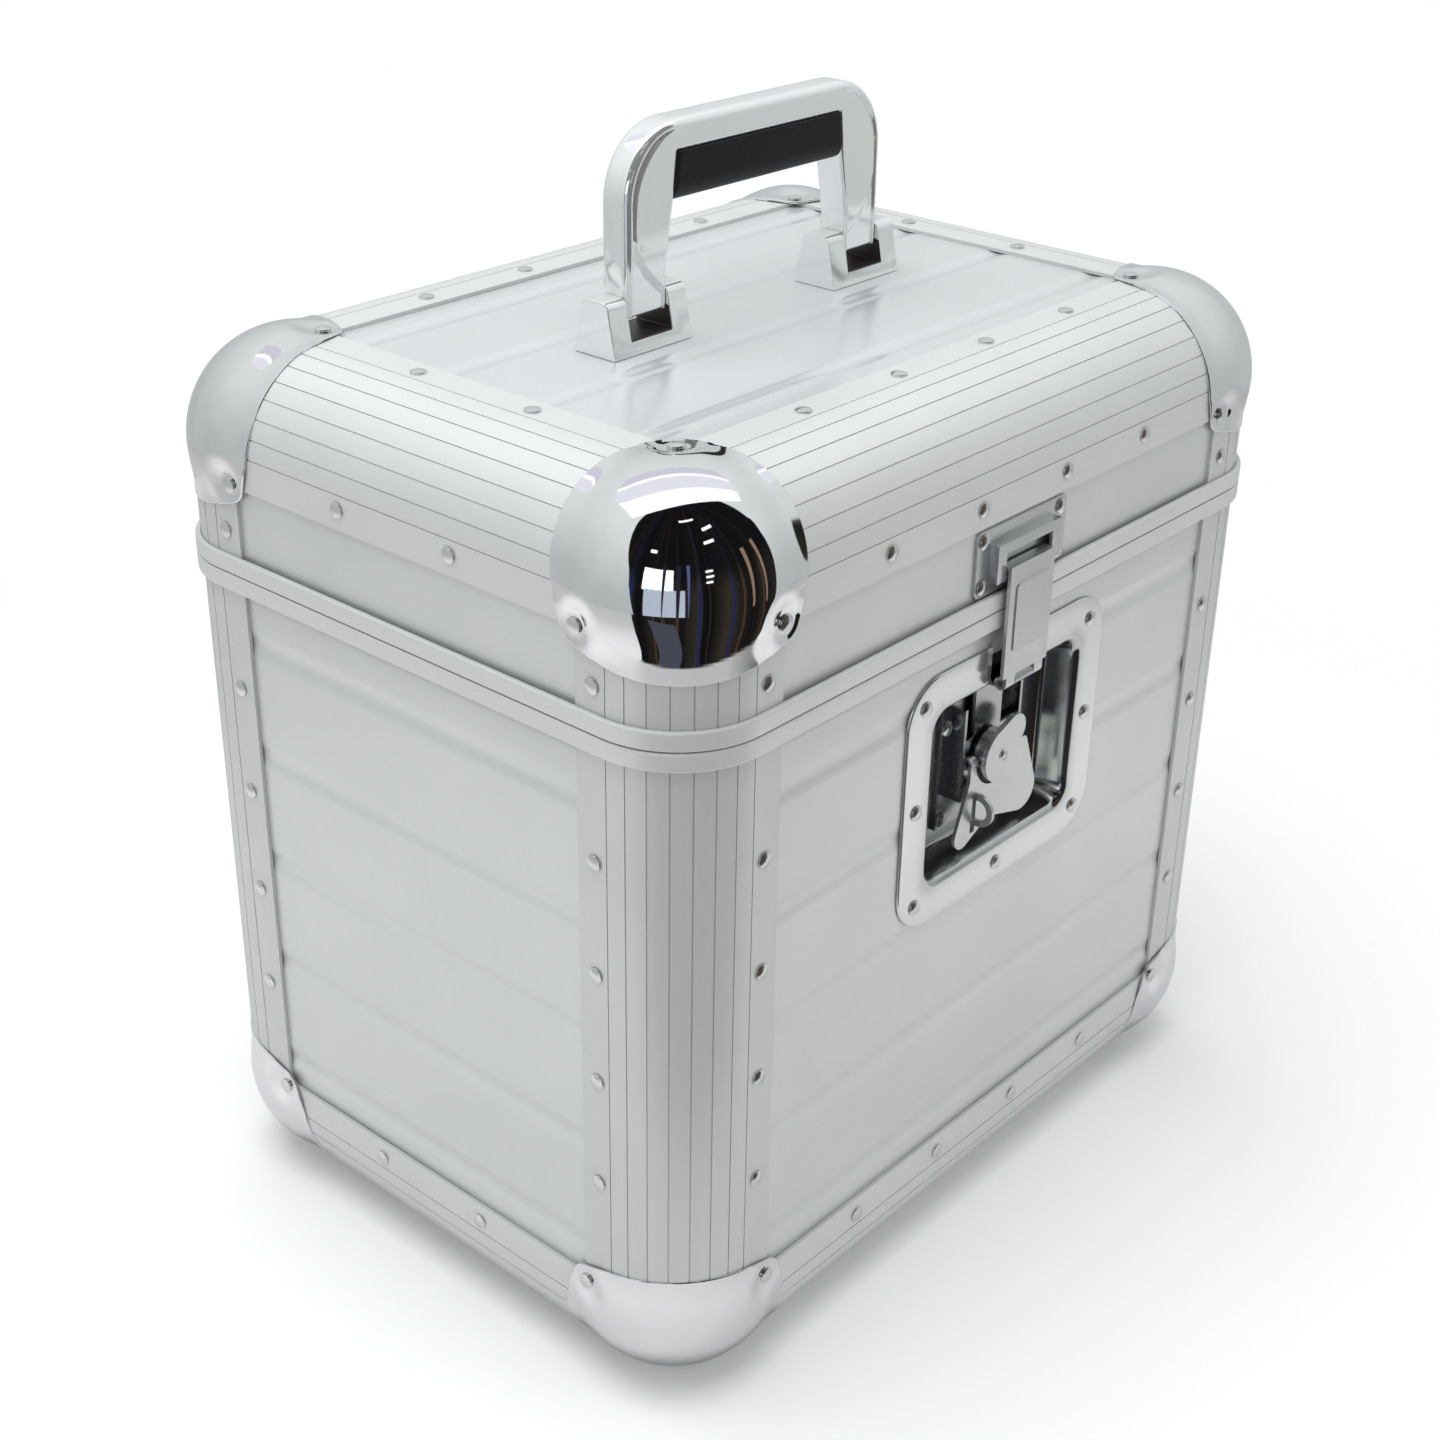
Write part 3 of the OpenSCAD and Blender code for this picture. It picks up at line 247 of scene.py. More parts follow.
def makeHandlingGroup():
    # faint hairlines and touched places: a mask between nought and one, and a slow drift of the tint
    group, start, end = newGroup("handling marks", {"Amount": 0.3}, ["Mask", "Tint"])
    cloud = noise(group, start["Vector"], *handling["cloud"])
    hair = noise(group, start["Vector"], *handling["hair"])
    both = maths(group, "MAXIMUM", stretched(group, cloud, *handling["cloudBand"]),
                 stretched(group, hair, *handling["hairBand"]))
    feed(group, end["Mask"], maths(group, "MULTIPLY", both, start["Amount"]))
    feed(group, end["Tint"], stretched(group, cloud, *handling["tintBand"]))
    return group


grainGroup = makeGrainGroup()
handlingGroup = makeHandlingGroup()


def newMaterial(name):
    # a material, its node tree and the place on the object
    material = bpy.data.materials.new(name)
    material.use_nodes = True
    tree = material.node_tree
    return material, tree, addNode(tree, "ShaderNodeTexCoord").outputs["Object"]


def dress(tree, values):
    # sockets of the shader fed by name
    for label, value in values.items():
        feed(tree, tree.nodes["Principled BSDF"].inputs[label], value)


def grained(tree, place, scale, rough):
    # roughness between the two values, and the fine noise itself
    made = addNode(tree, "ShaderNodeGroup", {"node_tree": grainGroup}, Vector=place, Scale=scale,
                   Low=rough[0], High=rough[1])
    return made.outputs["Value"], made.outputs["Fine"]


def handled(tree, place, amount):
    # the mask of the handling marks, and the drift of the tint
    made = addNode(tree, "ShaderNodeGroup", {"node_tree": handlingGroup}, Vector=place, Amount=amount)
    return made.outputs["Mask"], made.outputs["Tint"]


def bumped(tree, height, strength, depth):
    # the normal tilted by the slope of the height, whose full step is the depth in metres
    return addNode(tree, "ShaderNodeBump", Strength=strength, Distance=depth, Height=height).outputs[0]


def metalFinish(name, colour, shade, metallic, rough, scale, bump, marks):
    # metal whose colour drifts a little to the shade, with grain and touched places in its roughness
    material, tree, place = newMaterial(name)
    value, fine = grained(tree, place, scale, rough)
    mask, tint = handled(tree, place, marks)
    dress(tree, {"Metallic": metallic, "Base Color": mixed(tree, tint, (*colour, 1), (*shade, 1)),
                 "Roughness": maths(tree, "MULTIPLY_ADD", mask, handling["rougher"], value)})
    if bump:
        dress(tree, {"Normal": bumped(tree, fine, bump, grain["depth"])})
    return material


# rough is the roughness from the smoothest to the roughest grain, and marks the amount of handling
metals = {
    "sideSheet": {"name": "satin side sheet", "colour": (0.62, 0.645, 0.63), "shade": (0.59, 0.615, 0.602),
                  "metallic": 0.45, "rough": (0.3, 0.37), "scale": 2600, "bump": 0.22, "marks": 0.1},
    "topSheet": {"name": "satin top sheet", "colour": (0.66, 0.682, 0.695), "shade": (0.635, 0.656, 0.668),
                 "metallic": 0.5, "rough": (0.17, 0.24), "scale": 2600, "bump": 0.08, "marks": 0.2},
    "rail": {"name": "satin rail", "colour": (0.62, 0.642, 0.628), "shade": (0.59, 0.612, 0.6),
             "metallic": 0.35, "rough": (0.36, 0.44), "scale": 2200, "bump": 0.12, "marks": 0.15},
    # painted shade: the rail's finish made darker for the upright posts
    "post": {"name": "satin post with painted shade", "colour": (0.565, 0.587, 0.573), "shade": (0.535, 0.557, 0.545),
             "metallic": 0.35, "rough": (0.36, 0.44), "scale": 2200, "bump": 0.12, "marks": 0.15},
    "frame": {"name": "satin frame", "colour": (0.62, 0.642, 0.628), "shade": (0.59, 0.61, 0.6),
              "metallic": 0.35, "rough": (0.34, 0.42), "scale": 2200, "bump": 0.08, "marks": 0.15},
    "chrome": {"name": "bright chrome", "colour": (0.86, 0.872, 0.878), "shade": (0.82, 0.833, 0.842),
               "metallic": 1.0, "rough": (0.02, 0.05), "scale": 900, "bump": 0, "marks": 0.3},
    "dishChrome": {"name": "dish chrome", "colour": (0.6, 0.62, 0.612), "shade": (0.54, 0.56, 0.553),
                   "metallic": 1.0, "rough": (0.14, 0.2), "scale": 900, "bump": 0, "marks": 0.3},
    "handleChrome": {"name": "cast chrome", "colour": (0.9, 0.915, 0.915), "shade": (0.85, 0.866, 0.868),
                     "metallic": 0.8, "rough": (0.05, 0.1), "scale": 900, "bump": 0, "marks": 0.4},
    "rivet": {"name": "nickel rivet", "colour": (0.74, 0.75, 0.742), "shade": (0.66, 0.67, 0.662),
              "metallic": 0.95, "rough": (0.15, 0.21), "scale": 900, "bump": 0, "marks": 0.3},
    "latchPlate": {"name": "satin zinc plate", "colour": (0.62, 0.64, 0.635), "shade": (0.56, 0.58, 0.576),
                   "metallic": 0.85, "rough": (0.19, 0.26), "scale": 1500, "bump": 0.05, "marks": 0.5},
    "latchSteel": {"name": "zinc plated steel", "colour": (0.5, 0.5, 0.5), "shade": (0.4, 0.4, 0.41),
                   "metallic": 1.0, "rough": (0.16, 0.28), "scale": 1200, "bump": 0.05, "marks": 0.6},
    "hinge": {"name": "nickel plated hinge", "colour": (0.62, 0.62, 0.61), "shade": (0.52, 0.52, 0.52),
              "metallic": 1.0, "rough": (0.14, 0.24), "scale": 1200, "bump": 0.05, "marks": 0.5},
    "pin": {"name": "drawn steel pin", "colour": (0.5, 0.5, 0.51), "shade": (0.42, 0.42, 0.43),
            "metallic": 1.0, "rough": (0.18, 0.28), "scale": 1500, "bump": 0.05, "marks": 0.3}}
metals["cornerChrome"] = {**metals["chrome"], "name": "corner chrome"}
metals["handleFoot"] = {**metals["handleChrome"], "name": "cast chrome foot"}

moulding = {"dark": (0.006, 0.006, 0.008, 1), "polished": (0.018, 0.018, 0.021, 1), "specular": 0.28,
            "rough": (0.46, 0.6), "scale": 1800.0, "bump": 0.5, "depth": 0.0002, "marks": 0.5}


def gripFinish():
    # matt moulding: fine pitted surface, a little paler where hands polish it
    material, tree, place = newMaterial("matt black moulding")
    value, fine = grained(tree, place, moulding["scale"], moulding["rough"])
    mask = handled(tree, place, moulding["marks"])[0]
    dress(tree, {"Specular IOR Level": moulding["specular"], "Roughness": value,
                 "Base Color": mixed(tree, mask, moulding["dark"], moulding["polished"]),
                 "Normal": bumped(tree, fine, moulding["bump"], moulding["depth"])})
    return material


birch = {"pale": (0.62, 0.46, 0.29, 1), "dark": (0.42, 0.28, 0.16, 1), "drawn": (4, 30, 30),
         "streaks": (4.0, 6.0, 0.6), "rough": (0.5, 0.66), "scale": 1200.0, "bump": 0.25, "depth": 0.0002}


def boardFinish():
    # birch ply: long pale grain with darker streaks, matt
    material, tree, place = newMaterial("birch ply")
    drawn = addNode(tree, "ShaderNodeMapping", Vector=place, Scale=birch["drawn"]).outputs[0]
    streak = noise(tree, drawn, *birch["streaks"])
    dress(tree, {"Base Color": mixed(tree, streak, birch["pale"], birch["dark"]),
                 "Roughness": grained(tree, place, birch["scale"], birch["rough"])[0],
                 "Normal": bumped(tree, streak, birch["bump"], birch["depth"])})
    return material


foam = {"pore": (0.025, 0.025, 0.028, 1), "wall": (0.085, 0.085, 0.09, 1), "cells": 900.0,
        "roughness": 0.95, "sheen": 0.3, "bump": 0.8, "depth": 0.0006}


def foamFinish():
    # open-cell foam: tiny dark pores between soft grey cell walls
    material, tree, place = newMaterial("open cell foam")
    cell = addNode(tree, "ShaderNodeTexVoronoi", Vector=place, Scale=foam["cells"]).outputs["Distance"]
    dress(tree, {"Roughness": foam["roughness"], "Sheen Weight": foam["sheen"],
                 "Base Color": mixed(tree, cell, foam["pore"], foam["wall"]),
                 "Normal": bumped(tree, cell, foam["bump"], foam["depth"])})
    return material


def rimMask(tree):
    # the mesh's own rim attribute
    return addNode(tree, "ShaderNodeAttribute", {"attribute_name": "rim"}).outputs["Fac"]


def boxMask(tree, middle, reach):
    # one within reach of the middle along each axis, in metres, on both sides of x = 0
    place = addNode(tree, "ShaderNodeTexCoord").outputs["Object"]
    parts = addNode(tree, "ShaderNodeSeparateXYZ", Vector=place).outputs
    inside = 1.0
    for value, at, span in zip((maths(tree, "ABSOLUTE", parts["X"]), parts["Y"], parts["Z"]), middle, reach):
        inside = maths(tree, "MULTIPLY", maths(tree, "COMPARE", value, at, span), inside)
    return inside


def goOver(tree, mask, colour, roughness, metallic=None):
    # the finish goes over to another tone where the mask is one
    sockets = tree.nodes["Principled BSDF"].inputs
    tone = mixed(tree, mask, sockets["Base Color"].links[0].from_socket, (*colour, 1))
    gloss = mixed(tree, mask, sockets["Roughness"].links[0].from_socket, roughness, "FLOAT")
    dress(tree, {"Base Color": tone, "Roughness": gloss})
    if metallic is not None:
        dress(tree, {"Metallic": mixed(tree, mask, sockets["Metallic"].default_value, metallic, "FLOAT")})


finishes = {key: metalFinish(**settings) for key, settings in metals.items()}
finishes.update(grip=gripFinish(), ply=boardFinish(), foam=foamFinish())

# satin rims, the top balls' one a painted reflection, and painted shade in metres: dark in the slot under
# each handle leg and round the board's cut by the latch
satinRimsAndPaintedReflection = {
    # painted reflection: the top balls' rim goes pale and less metallic, standing in for a pale reflection
    "cornerChrome": {"colour": (0.8, 0.815, 0.81), "metallic": 0.4, "roughness": 0.3},
    "dishChrome": {"colour": (0.76, 0.78, 0.772), "metallic": 0.85, "roughness": 0.17}}
paintedShadeBoxes = {
    # painted shade: the recess under each handle leg darkened as its shadow
    "handleFoot": {"middle": (0.0635, 0.0, 0.3794), "reach": (0.01096, 0.0095, 0.0045),
                   "colour": (0.07, 0.062, 0.06), "roughness": 0.4},
    # painted shade: the board round the latch cut darkened, for the shadow in the gap beside the link
    "ply": {"middle": (0.0, -0.1334, 0.2225), "reach": (0.053, 0.0035, 0.05),
            "colour": (0.012, 0.012, 0.013), "roughness": 0.6}}
for key, settings in satinRimsAndPaintedReflection.items():
    tree = finishes[key].node_tree
    goOver(tree, rimMask(tree), **settings)
# painted shade: each box turns its finish dark
for key, settings in paintedShadeBoxes.items():
    tree = finishes[key].node_tree
    inside = boxMask(tree, settings["middle"], settings["reach"])
    goOver(tree, inside, settings["colour"], settings["roughness"])


def markRim(piece, share):
    # share: how far each point of the mesh, in millimetres, belongs to the rim: the dish's satin flange, or
    # the painted reflection on a top ball's rim
    points = np.empty(len(piece.data.vertices) * 3)
    piece.data.vertices.foreach_get("co", points)
    mark = piece.data.attributes.new("rim", "FLOAT", "POINT")
    mark.data.foreach_set("value", share(points.reshape(-1, 3) / mm).astype(np.float32))


slotFinish = {
    "plywood": "ply", "side_sheet": "sideSheet", "top_sheet": "topSheet", "rail_aluminium": "rail",
    "frame_aluminium": "frame", "corner_chrome": "chrome", "rivet_steel": "rivet",
    "latch_chrome": "chrome", "spindle_chrome": "chrome", "latch_steel": "latchSteel",
    "hinge_steel": "hinge", "pin_steel": "pin", "lining_foam": "foam",
    "handle_chrome": "handleChrome", "grip_plastic": "grip"}
for row in frame["record"]["subparts"]:
    mesh = nodes[row["node"]].data
    # the posts take the darker copy of the rail finish, painted shade
    finish = "post" if "post" in row["node"] else slotFinish[row["material_slot"]]
    mesh.materials.clear()
    mesh.materials.append(finishes[finish])
print("finishes:", len(finishes))

# pressed sheets, in millimetres; a piece's faces start their wobble a phase step apart, and the holes
# are (lowest x, highest x, lowest z, highest z): the dish, and the link above it
sheets = {
    "grooveWidth": 13.0, "grooveDepth": 0.67, "grooveTop": 256.0, "groovePitch": 48.5, "grooveCount": 5,
    "topRows": (-1.5, -0.5, 0.5, 1.5), "wobble": 0.05, "wobbleAcross": 31.0, "wobbleUp": 43.0,
    "phaseStep": 1.3, "thickness": 0.8, "cellsAcross": 60, "cellsUp": 30, "cellsInGroove": 25,
    "latchHoles": ((-50.5, 50.5, 177.8, 258.8), (-11.5, 11.5, 258.8, 267.5))}
faceAxis = {"front": (1, -1), "back": (1, 1), "left": (0, -1), "right": (0, 1), "top": (2, 1)}


def sheetStations(low, high, grooves):
    # coarse steps over the sheet and close ones across each groove
    half = sheets["grooveWidth"] / 2
    near = [np.linspace(g - half, g + half, sheets["cellsInGroove"]) for g in grooves]
    steps = np.unique(np.round(np.concatenate([np.linspace(low, high, sheets["cellsUp"]), *near]), 4))
    return steps[(steps >= low) & (steps <= high)]


def pressedSheet(face, nodeName, phase, grooves, holes):
    # flat sheet less a raised cosine across each groove, with a slow wobble of sine by sine over the face
    low, high = (np.array(v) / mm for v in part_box(nodeName))
    axis, sign = faceAxis[face]
    acrossAxis = 1 if axis == 0 else 0
    upAxis = 1 if face == "top" else 2
    a = np.linspace(low[acrossAxis], high[acrossAxis], sheets["cellsAcross"])
    h = sheetStations(low[upAxis], high[upAxis], grooves)
    for hole in holes:
        a = np.unique(np.concatenate([a, hole[:2]]))
        h = np.unique(np.concatenate([h, hole[2:]]))
    across, up = np.meshgrid(a, h)
    width = sheets["grooveWidth"]
    groove = sum(np.where(np.abs(up - g) < width / 2, 0.5 + 0.5 * np.cos(2 * np.pi * (up - g) / width), 0.0)
                 for g in grooves)
    outer = sign * (high[axis] if sign > 0 else -low[axis])
    wave = np.sin(across / sheets["wobbleAcross"] + phase) * np.sin(up / sheets["wobbleUp"] + 2 * phase)
    points = np.zeros(across.shape + (3,))
    points[..., acrossAxis] = across
    points[..., upAxis] = up
    points[..., axis] = outer + sign * (sheets["wobble"] * (wave - 1) - sheets["grooveDepth"] * groove)
    facing = np.zeros(3)
    facing[axis] = sign

    def inHoles(c):
        # whether the middle of each quad lies in a hole
        inside = [(c[:, acrossAxis] > hole[0]) & (c[:, acrossAxis] < hole[1])
                  & (c[:, upAxis] > hole[2]) & (c[:, upAxis] < hole[3]) for hole in holes]
        return np.any(inside, axis=0)

    return patch(points, facing, drop=inHoles if holes else None)


bodyGrooves = [case["lift"] + sheets["grooveTop"] - i * sheets["groovePitch"]
               for i in range(sheets["grooveCount"])]
topGrooves = [row * sheets["groovePitch"] for row in sheets["topRows"]]
for name, faces, body, slot, finish, grooves, holes in (
        ("front_skin", ["front"], "case", "side_sheet", "sideSheet", bodyGrooves, sheets["latchHoles"]),
        ("back_skin", ["back"], "case", "side_sheet", "sideSheet", bodyGrooves, ()),
        ("side_skins", ["left", "right"], "case", "side_sheet", "sideSheet", bodyGrooves, ()),
        ("lid_top_skin", ["top"], "lid", "top_sheet", "topSheet", topGrooves, ())):
    parts = [pressedSheet(face, name, sheets["phaseStep"] * i + len(name), grooves, holes)
             for i, face in enumerate(faces)]
    piece = buildPiece("sheet_" + name, parts)
    thicken(piece, sheets["thickness"])
    finishPiece(piece, body, slot, finish, name)
print("pressed sheets done")

rivet = {"head": 3.1, "shoulder": 0.32, "rise": 0.62, "headHeight": 1.4, "shank": 1.6, "tail": 2.6,
         "tailHeight": 1.0, "tailRound": 0.25, "turns": 28}


def rivetPlaces(nodeName):
    # lowest and highest corner of each separate rivet of a node, in millimetres
    mesh = nodes[nodeName].data
    points = np.empty(len(mesh.vertices) * 3)
    mesh.vertices.foreach_get("co", points)
    places, index = np.unique(np.round(points.reshape(-1, 3) / mm, 3), axis=0, return_inverse=True)
    ends = np.empty(len(mesh.edges) * 2, int)
    mesh.edges.foreach_get("vertices", ends)
    ends = index.ravel()[ends].reshape(-1, 2)
    # joined points take the lowest number among them, until nothing changes
    group = np.arange(len(places))
    while True:
        lowest = group[ends].min(axis=1)
        linked = group.copy()
        np.minimum.at(linked, ends[:, 0], lowest)
        np.minimum.at(linked, ends[:, 1], lowest)
        linked = linked[linked]
        if np.array_equal(linked, group):
            break
        group = linked
    own = [places[group == g] for g in np.unique(group)]
    return [(p.min(axis=0), p.max(axis=0)) for p in own]


def rivetRings(low, high):
    # flanged head with a shallow dome, shank and set tail, swept round the rivet's own axis
    axis = int(np.argmax(np.abs(high - low - 2 * rivet["head"])))
    middle, length = (low + high) / 2, (high - low)[axis]
    outward = 1.0 if middle[axis] > (case["height"] / 2 if axis == 2 else 0) else -1.0
    r, bend = rivet["head"], rivet["shoulder"]
    t = np.linspace(0, 1, 8)
    dome = np.stack([(r - bend) * t, -rivet["rise"] * t ** 2], axis=-1)
    turn = np.linspace(0.25, 1, 4) * np.pi / 2
    shoulder = np.stack([r - bend + bend * np.sin(turn),
                         -rivet["rise"] - bend + bend * np.cos(turn)], axis=-1)
    tailTop = rivet["tailHeight"] - length
    lower = np.array([
        (r, -rivet["headHeight"]), (rivet["shank"], -rivet["headHeight"]), (rivet["shank"], tailTop),
        (rivet["tail"], tailTop), (rivet["tail"], rivet["tailRound"] - length),
        (rivet["tail"] - rivet["tailRound"], -length), (0, -length)])
    profile = np.concatenate([dome, shoulder, lower])
    around = np.linspace(0, 2 * np.pi, rivet["turns"], endpoint=False)
    rings = np.empty((len(profile), len(around), 3))
    rings[..., axis] = middle[axis] + outward * (length / 2 + profile[:, 1, None])
    for other, wave in (((axis + 1) % 3, np.cos(around)), ((axis + 2) % 3, np.sin(around))):
        rings[..., other] = middle[other] + profile[:, 0, None] * wave
    return rings


for name, body in (("body_rivets", "case"), ("lid_rivets", "lid")):
    heads = [patch(rivetRings(low, high), closeColumns=True) for low, high in rivetPlaces(name)]
    finishPiece(buildPiece("set_" + name, heads, closed=True), body, "rivet_steel", "rivet", name)
    print(name, len(heads))
print("rivets done")

# ball corners, in millimetres inwards from the three outer faces that meet at the corner
ball = {
    "centre": 39.6, "radius": 43.2, "edge": 35.0, "skirt": 1.2, "skirtNose": 0.45, "skirtStart": 40.0,
    "rivetInset": 47.1, "earRadius": 7.0, "rimAngle": 19.0, "seat": 4.8, "seatSlope": 0.34, "blend": 1.6,
    "seatBlend": 1.2, "footBlend": 0.4, "thickness": 1.1, "rimRound": 0.45, "heart": 46.0, "reach": 80.0,
    "halvings": 34, "rings": 56, "railCells": 28, "earCells": 14,
    # rimStart, rimRise, rimFade and rimSide place the painted reflection on the top balls' rim
    "rimStart": 54.0, "rimRise": 0.0117, "rimFade": 0.6, "rimSide": (12.0, 30.0)}


def softMin(a, b, width):
    # the smaller of two distances, rounded over a band of that width where they meet
    t = np.clip(0.5 + 0.5 * (b - a) / width, 0, 1)
    return b + (a - b) * t - width * t * (1 - t)


def ballDistance(p, foot):
    # ball joined to a thin skirt round each of the three rails, eased down to a flat round each rivet
    solid = np.linalg.norm(p - ball["centre"], axis=-1) - ball["radius"]
    for k in range(3):
        pair = ball["edge"] - np.stack([p[..., (k + 1) % 3], p[..., (k + 2) % 3]], axis=-1)
        turn = np.abs(np.arctan2(np.maximum(pair[..., 1], 0), np.maximum(pair[..., 0], 1e-9)) - np.pi / 4)
        share = np.clip(turn / (np.pi / 4), 0, 1) ** 2
        skirt = ball["skirtNose"] + (ball["skirt"] - ball["skirtNose"]) * share
        edge = np.linalg.norm(np.maximum(pair, 0), axis=-1) + np.minimum(pair.max(axis=-1), 0)
        skirt = np.maximum(edge - ball["edge"] - skirt, ball["skirtStart"] - p[..., k])
        solid = softMin(solid, skirt, ball["blend"])
    for k in range(3):
        away = np.hypot(p[..., (k + 1) % 3] - ball["rivetInset"], p[..., (k + 2) % 3] - ball["rivetInset"])
        limit = ball["skirt"] + ball["seatSlope"] * np.maximum(away - ball["seat"], 0)
        solid = -softMin(-solid, p[..., k] + limit, ball["seatBlend"])
    return -softMin(-solid, p[..., 2] + case["lift"], ball["footBlend"]) if foot else solid


def cornerRim():
    # the sheet's outline: a shallow bulge from the nose of each rail to its rivet, and an arc round the rivet
    angle = math.radians(ball["rimAngle"])
    edge, inset, ear = ball["edge"], ball["rivetInset"], ball["earRadius"]
    leave = edge * math.pi / 4 + inset - edge + ear * math.sin(angle)
    bulge = math.tan(angle) / (2 * leave)
    along = np.linspace(0, leave, ball["railCells"], endpoint=False)
    turn = np.minimum(along / edge, math.pi / 4) + math.pi / 4
    out = edge + ball["skirt"]
    depth = edge - out * np.sin(turn)
    inward = edge - out * np.cos(turn) + np.maximum(along - edge * math.pi / 4, 0)
    reach = inset + ear * math.cos(angle) + bulge * (leave ** 2 - along ** 2)
    around = np.linspace(angle, math.pi / 2 - angle, ball["earCells"], endpoint=False)
    earFlat = np.full_like(around, -ball["skirt"])
    parts = []
    for k in range(3):
        # over the face across axis k, from the nose of one rail to the nose of the next
        one, other = (k + 1) % 3, (k + 2) % 3
        near, arc, far = np.empty((len(along), 3)), np.empty((len(around), 3)), np.empty((len(along), 3))
        near[:, k], near[:, other], near[:, one] = depth, inward, reach
        arc[:, k] = earFlat
        arc[:, other], arc[:, one] = inset + ear * np.sin(around), inset + ear * np.cos(around)
        far[:, k], far[:, one], far[:, other] = depth, inward, reach
        parts += [near, arc, far[:0:-1]]
    return np.concatenate(parts)


def ballCorner(foot):
    # rays from a point inside, fanned from the ball's middle out to the rim and stopped at the surface
    rim = cornerRim() - ball["heart"]
    rim /= np.linalg.norm(rim, axis=1)[:, None]
    pole = -np.ones(3) / math.sqrt(3)
    span = np.arccos(rim @ pole)[None, :, None]
    share = np.linspace(0, 1, ball["rings"])[:, None, None]
    ray = (np.sin((1 - share) * span) * pole + np.sin(share * span) * rim[None]) / np.sin(span)
    near, far = np.zeros(ray.shape[:2]), np.full(ray.shape[:2], ball["reach"])
    for _ in range(ball["halvings"]):
        middle = (near + far) / 2
        outside = ballDistance(ball["heart"] + ray * middle[..., None], foot) > 0
        near, far = np.where(outside, near, middle), np.where(outside, middle, far)
    return ball["heart"] + ray * near[..., None]


def paintedReflectionShare(p):
    # painted reflection: a pale satin crescent on the top balls' edge that laps over the post, higher towards
    # its ends, where it fades out
    inX, inY = case["width"] / 2 - np.abs(p[:, 0]), case["depth"] / 2 - np.abs(p[:, 1])
    low = p[:, 2] - case["lift"]
    inZ = np.minimum(low, case["height"] - low)
    aside = np.abs(inX - inY) / math.sqrt(2)
    band = np.clip((inZ - ball["rimStart"] + ball["rimRise"] * aside ** 2) / ball["rimFade"], 0, 1)
    near, far = ball["rimSide"]
    fade = np.clip((far - aside) / (far - near), 0, 1)
    return np.where(p[:, 2] > case["height"] / 2, band * fade * fade * (3 - 2 * fade), 0.0)


for level, body, side in (("base", "case", -1), ("top", "lid", 1)):
    local = ballCorner(level == "base")
    height = local[..., 2] if level == "base" else case["height"] - local[..., 2]
    for sideY, depthName in ((-1, "front"), (1, "back")):
        for sideX, widthName in ((-1, "left"), (1, "right")):
            points = np.stack([sideX * (case["width"] / 2 - local[..., 0]),
                               sideY * (case["depth"] / 2 - local[..., 1]), case["lift"] + height], axis=-1)
            name = f"{level}_corner_{depthName}_{widthName}"
            piece = buildPiece("ball_" + name, [patch(points, (sideX, sideY, side), closeColumns=True)])
            # painted reflection: the pale crescent on the top balls' rim
            markRim(piece, paintedReflectionShare)
            thicken(piece, ball["thickness"], ball["rimRound"])
            finishPiece(piece, body, "corner_chrome", "cornerChrome", name)
print("ball corners done")

# latch dish, in millimetres from the latch's own place: across, up from the spindle, and out of the front
# face; the stations of a ring lie beside the notch, across it, down a side and round a corner
dish = {
    "face": 137.0, "spindle": 220.35, "centreUp": -2.3, "width": 129.0, "height": 107.0, "corner": 19.0,
    "back": -1.45, "thickness": 1.2, "rim": 0.9, "mouthWidth": 96.0, "mouthHeight": 75.4, "mouthCorner": 9.0,
    "lip": 3.4, "lipOut": 0.6, "lean": 4.0, "floor": -14.0, "floorRound": 2.4,
    "floorRings": (0.7, 0.35, 0.02), "sharpest": 0.2, "straight": 0.05, "stations": (9, 13, 21, 15),
    "sheet": 1.0, "notch": 13.5, "notchLap": 2.5, "neck": 10.0, "neckLap": 6.0, "neckDepth": 11.3,
    "flangeStart": 1.6}


def latchPoint(x, y, z):
    # across, up and out become places in the shared frame
    return np.stack([x, -(dish["face"] + z), dish["spindle"] + y], axis=-1)


def roundedRing(halfWidth, halfHeight, radius):
    # rounded rectangle with the same number of points whatever its size, stations at the notch's sides
    beside, behind, down, bend = dish["stations"]
    flat, tall = halfWidth - radius, halfHeight - radius
    stop = min(dish["notch"], flat - 0.5)
    top = np.concatenate([np.linspace(flat, stop, beside), np.linspace(stop, -stop, behind)[1:],
                          np.linspace(-stop, -flat, beside)[1:]])
    side = np.linspace(1, -1, down)[1:-1] * tall
    turn = np.linspace(0, np.pi / 2, bend)[1:-1]
    cos, sin = np.cos(turn) * radius, np.sin(turn) * radius
    x = [top, -sin - flat, np.full_like(side, -halfWidth), -cos - flat]
    y = [np.full_like(top, halfHeight), cos + tall, side, -sin - tall]
    # the other half is the same, turned half way round
    x, y = np.concatenate(x), np.concatenate(y)
    return np.concatenate([x, -x]), np.concatenate([y, -y])


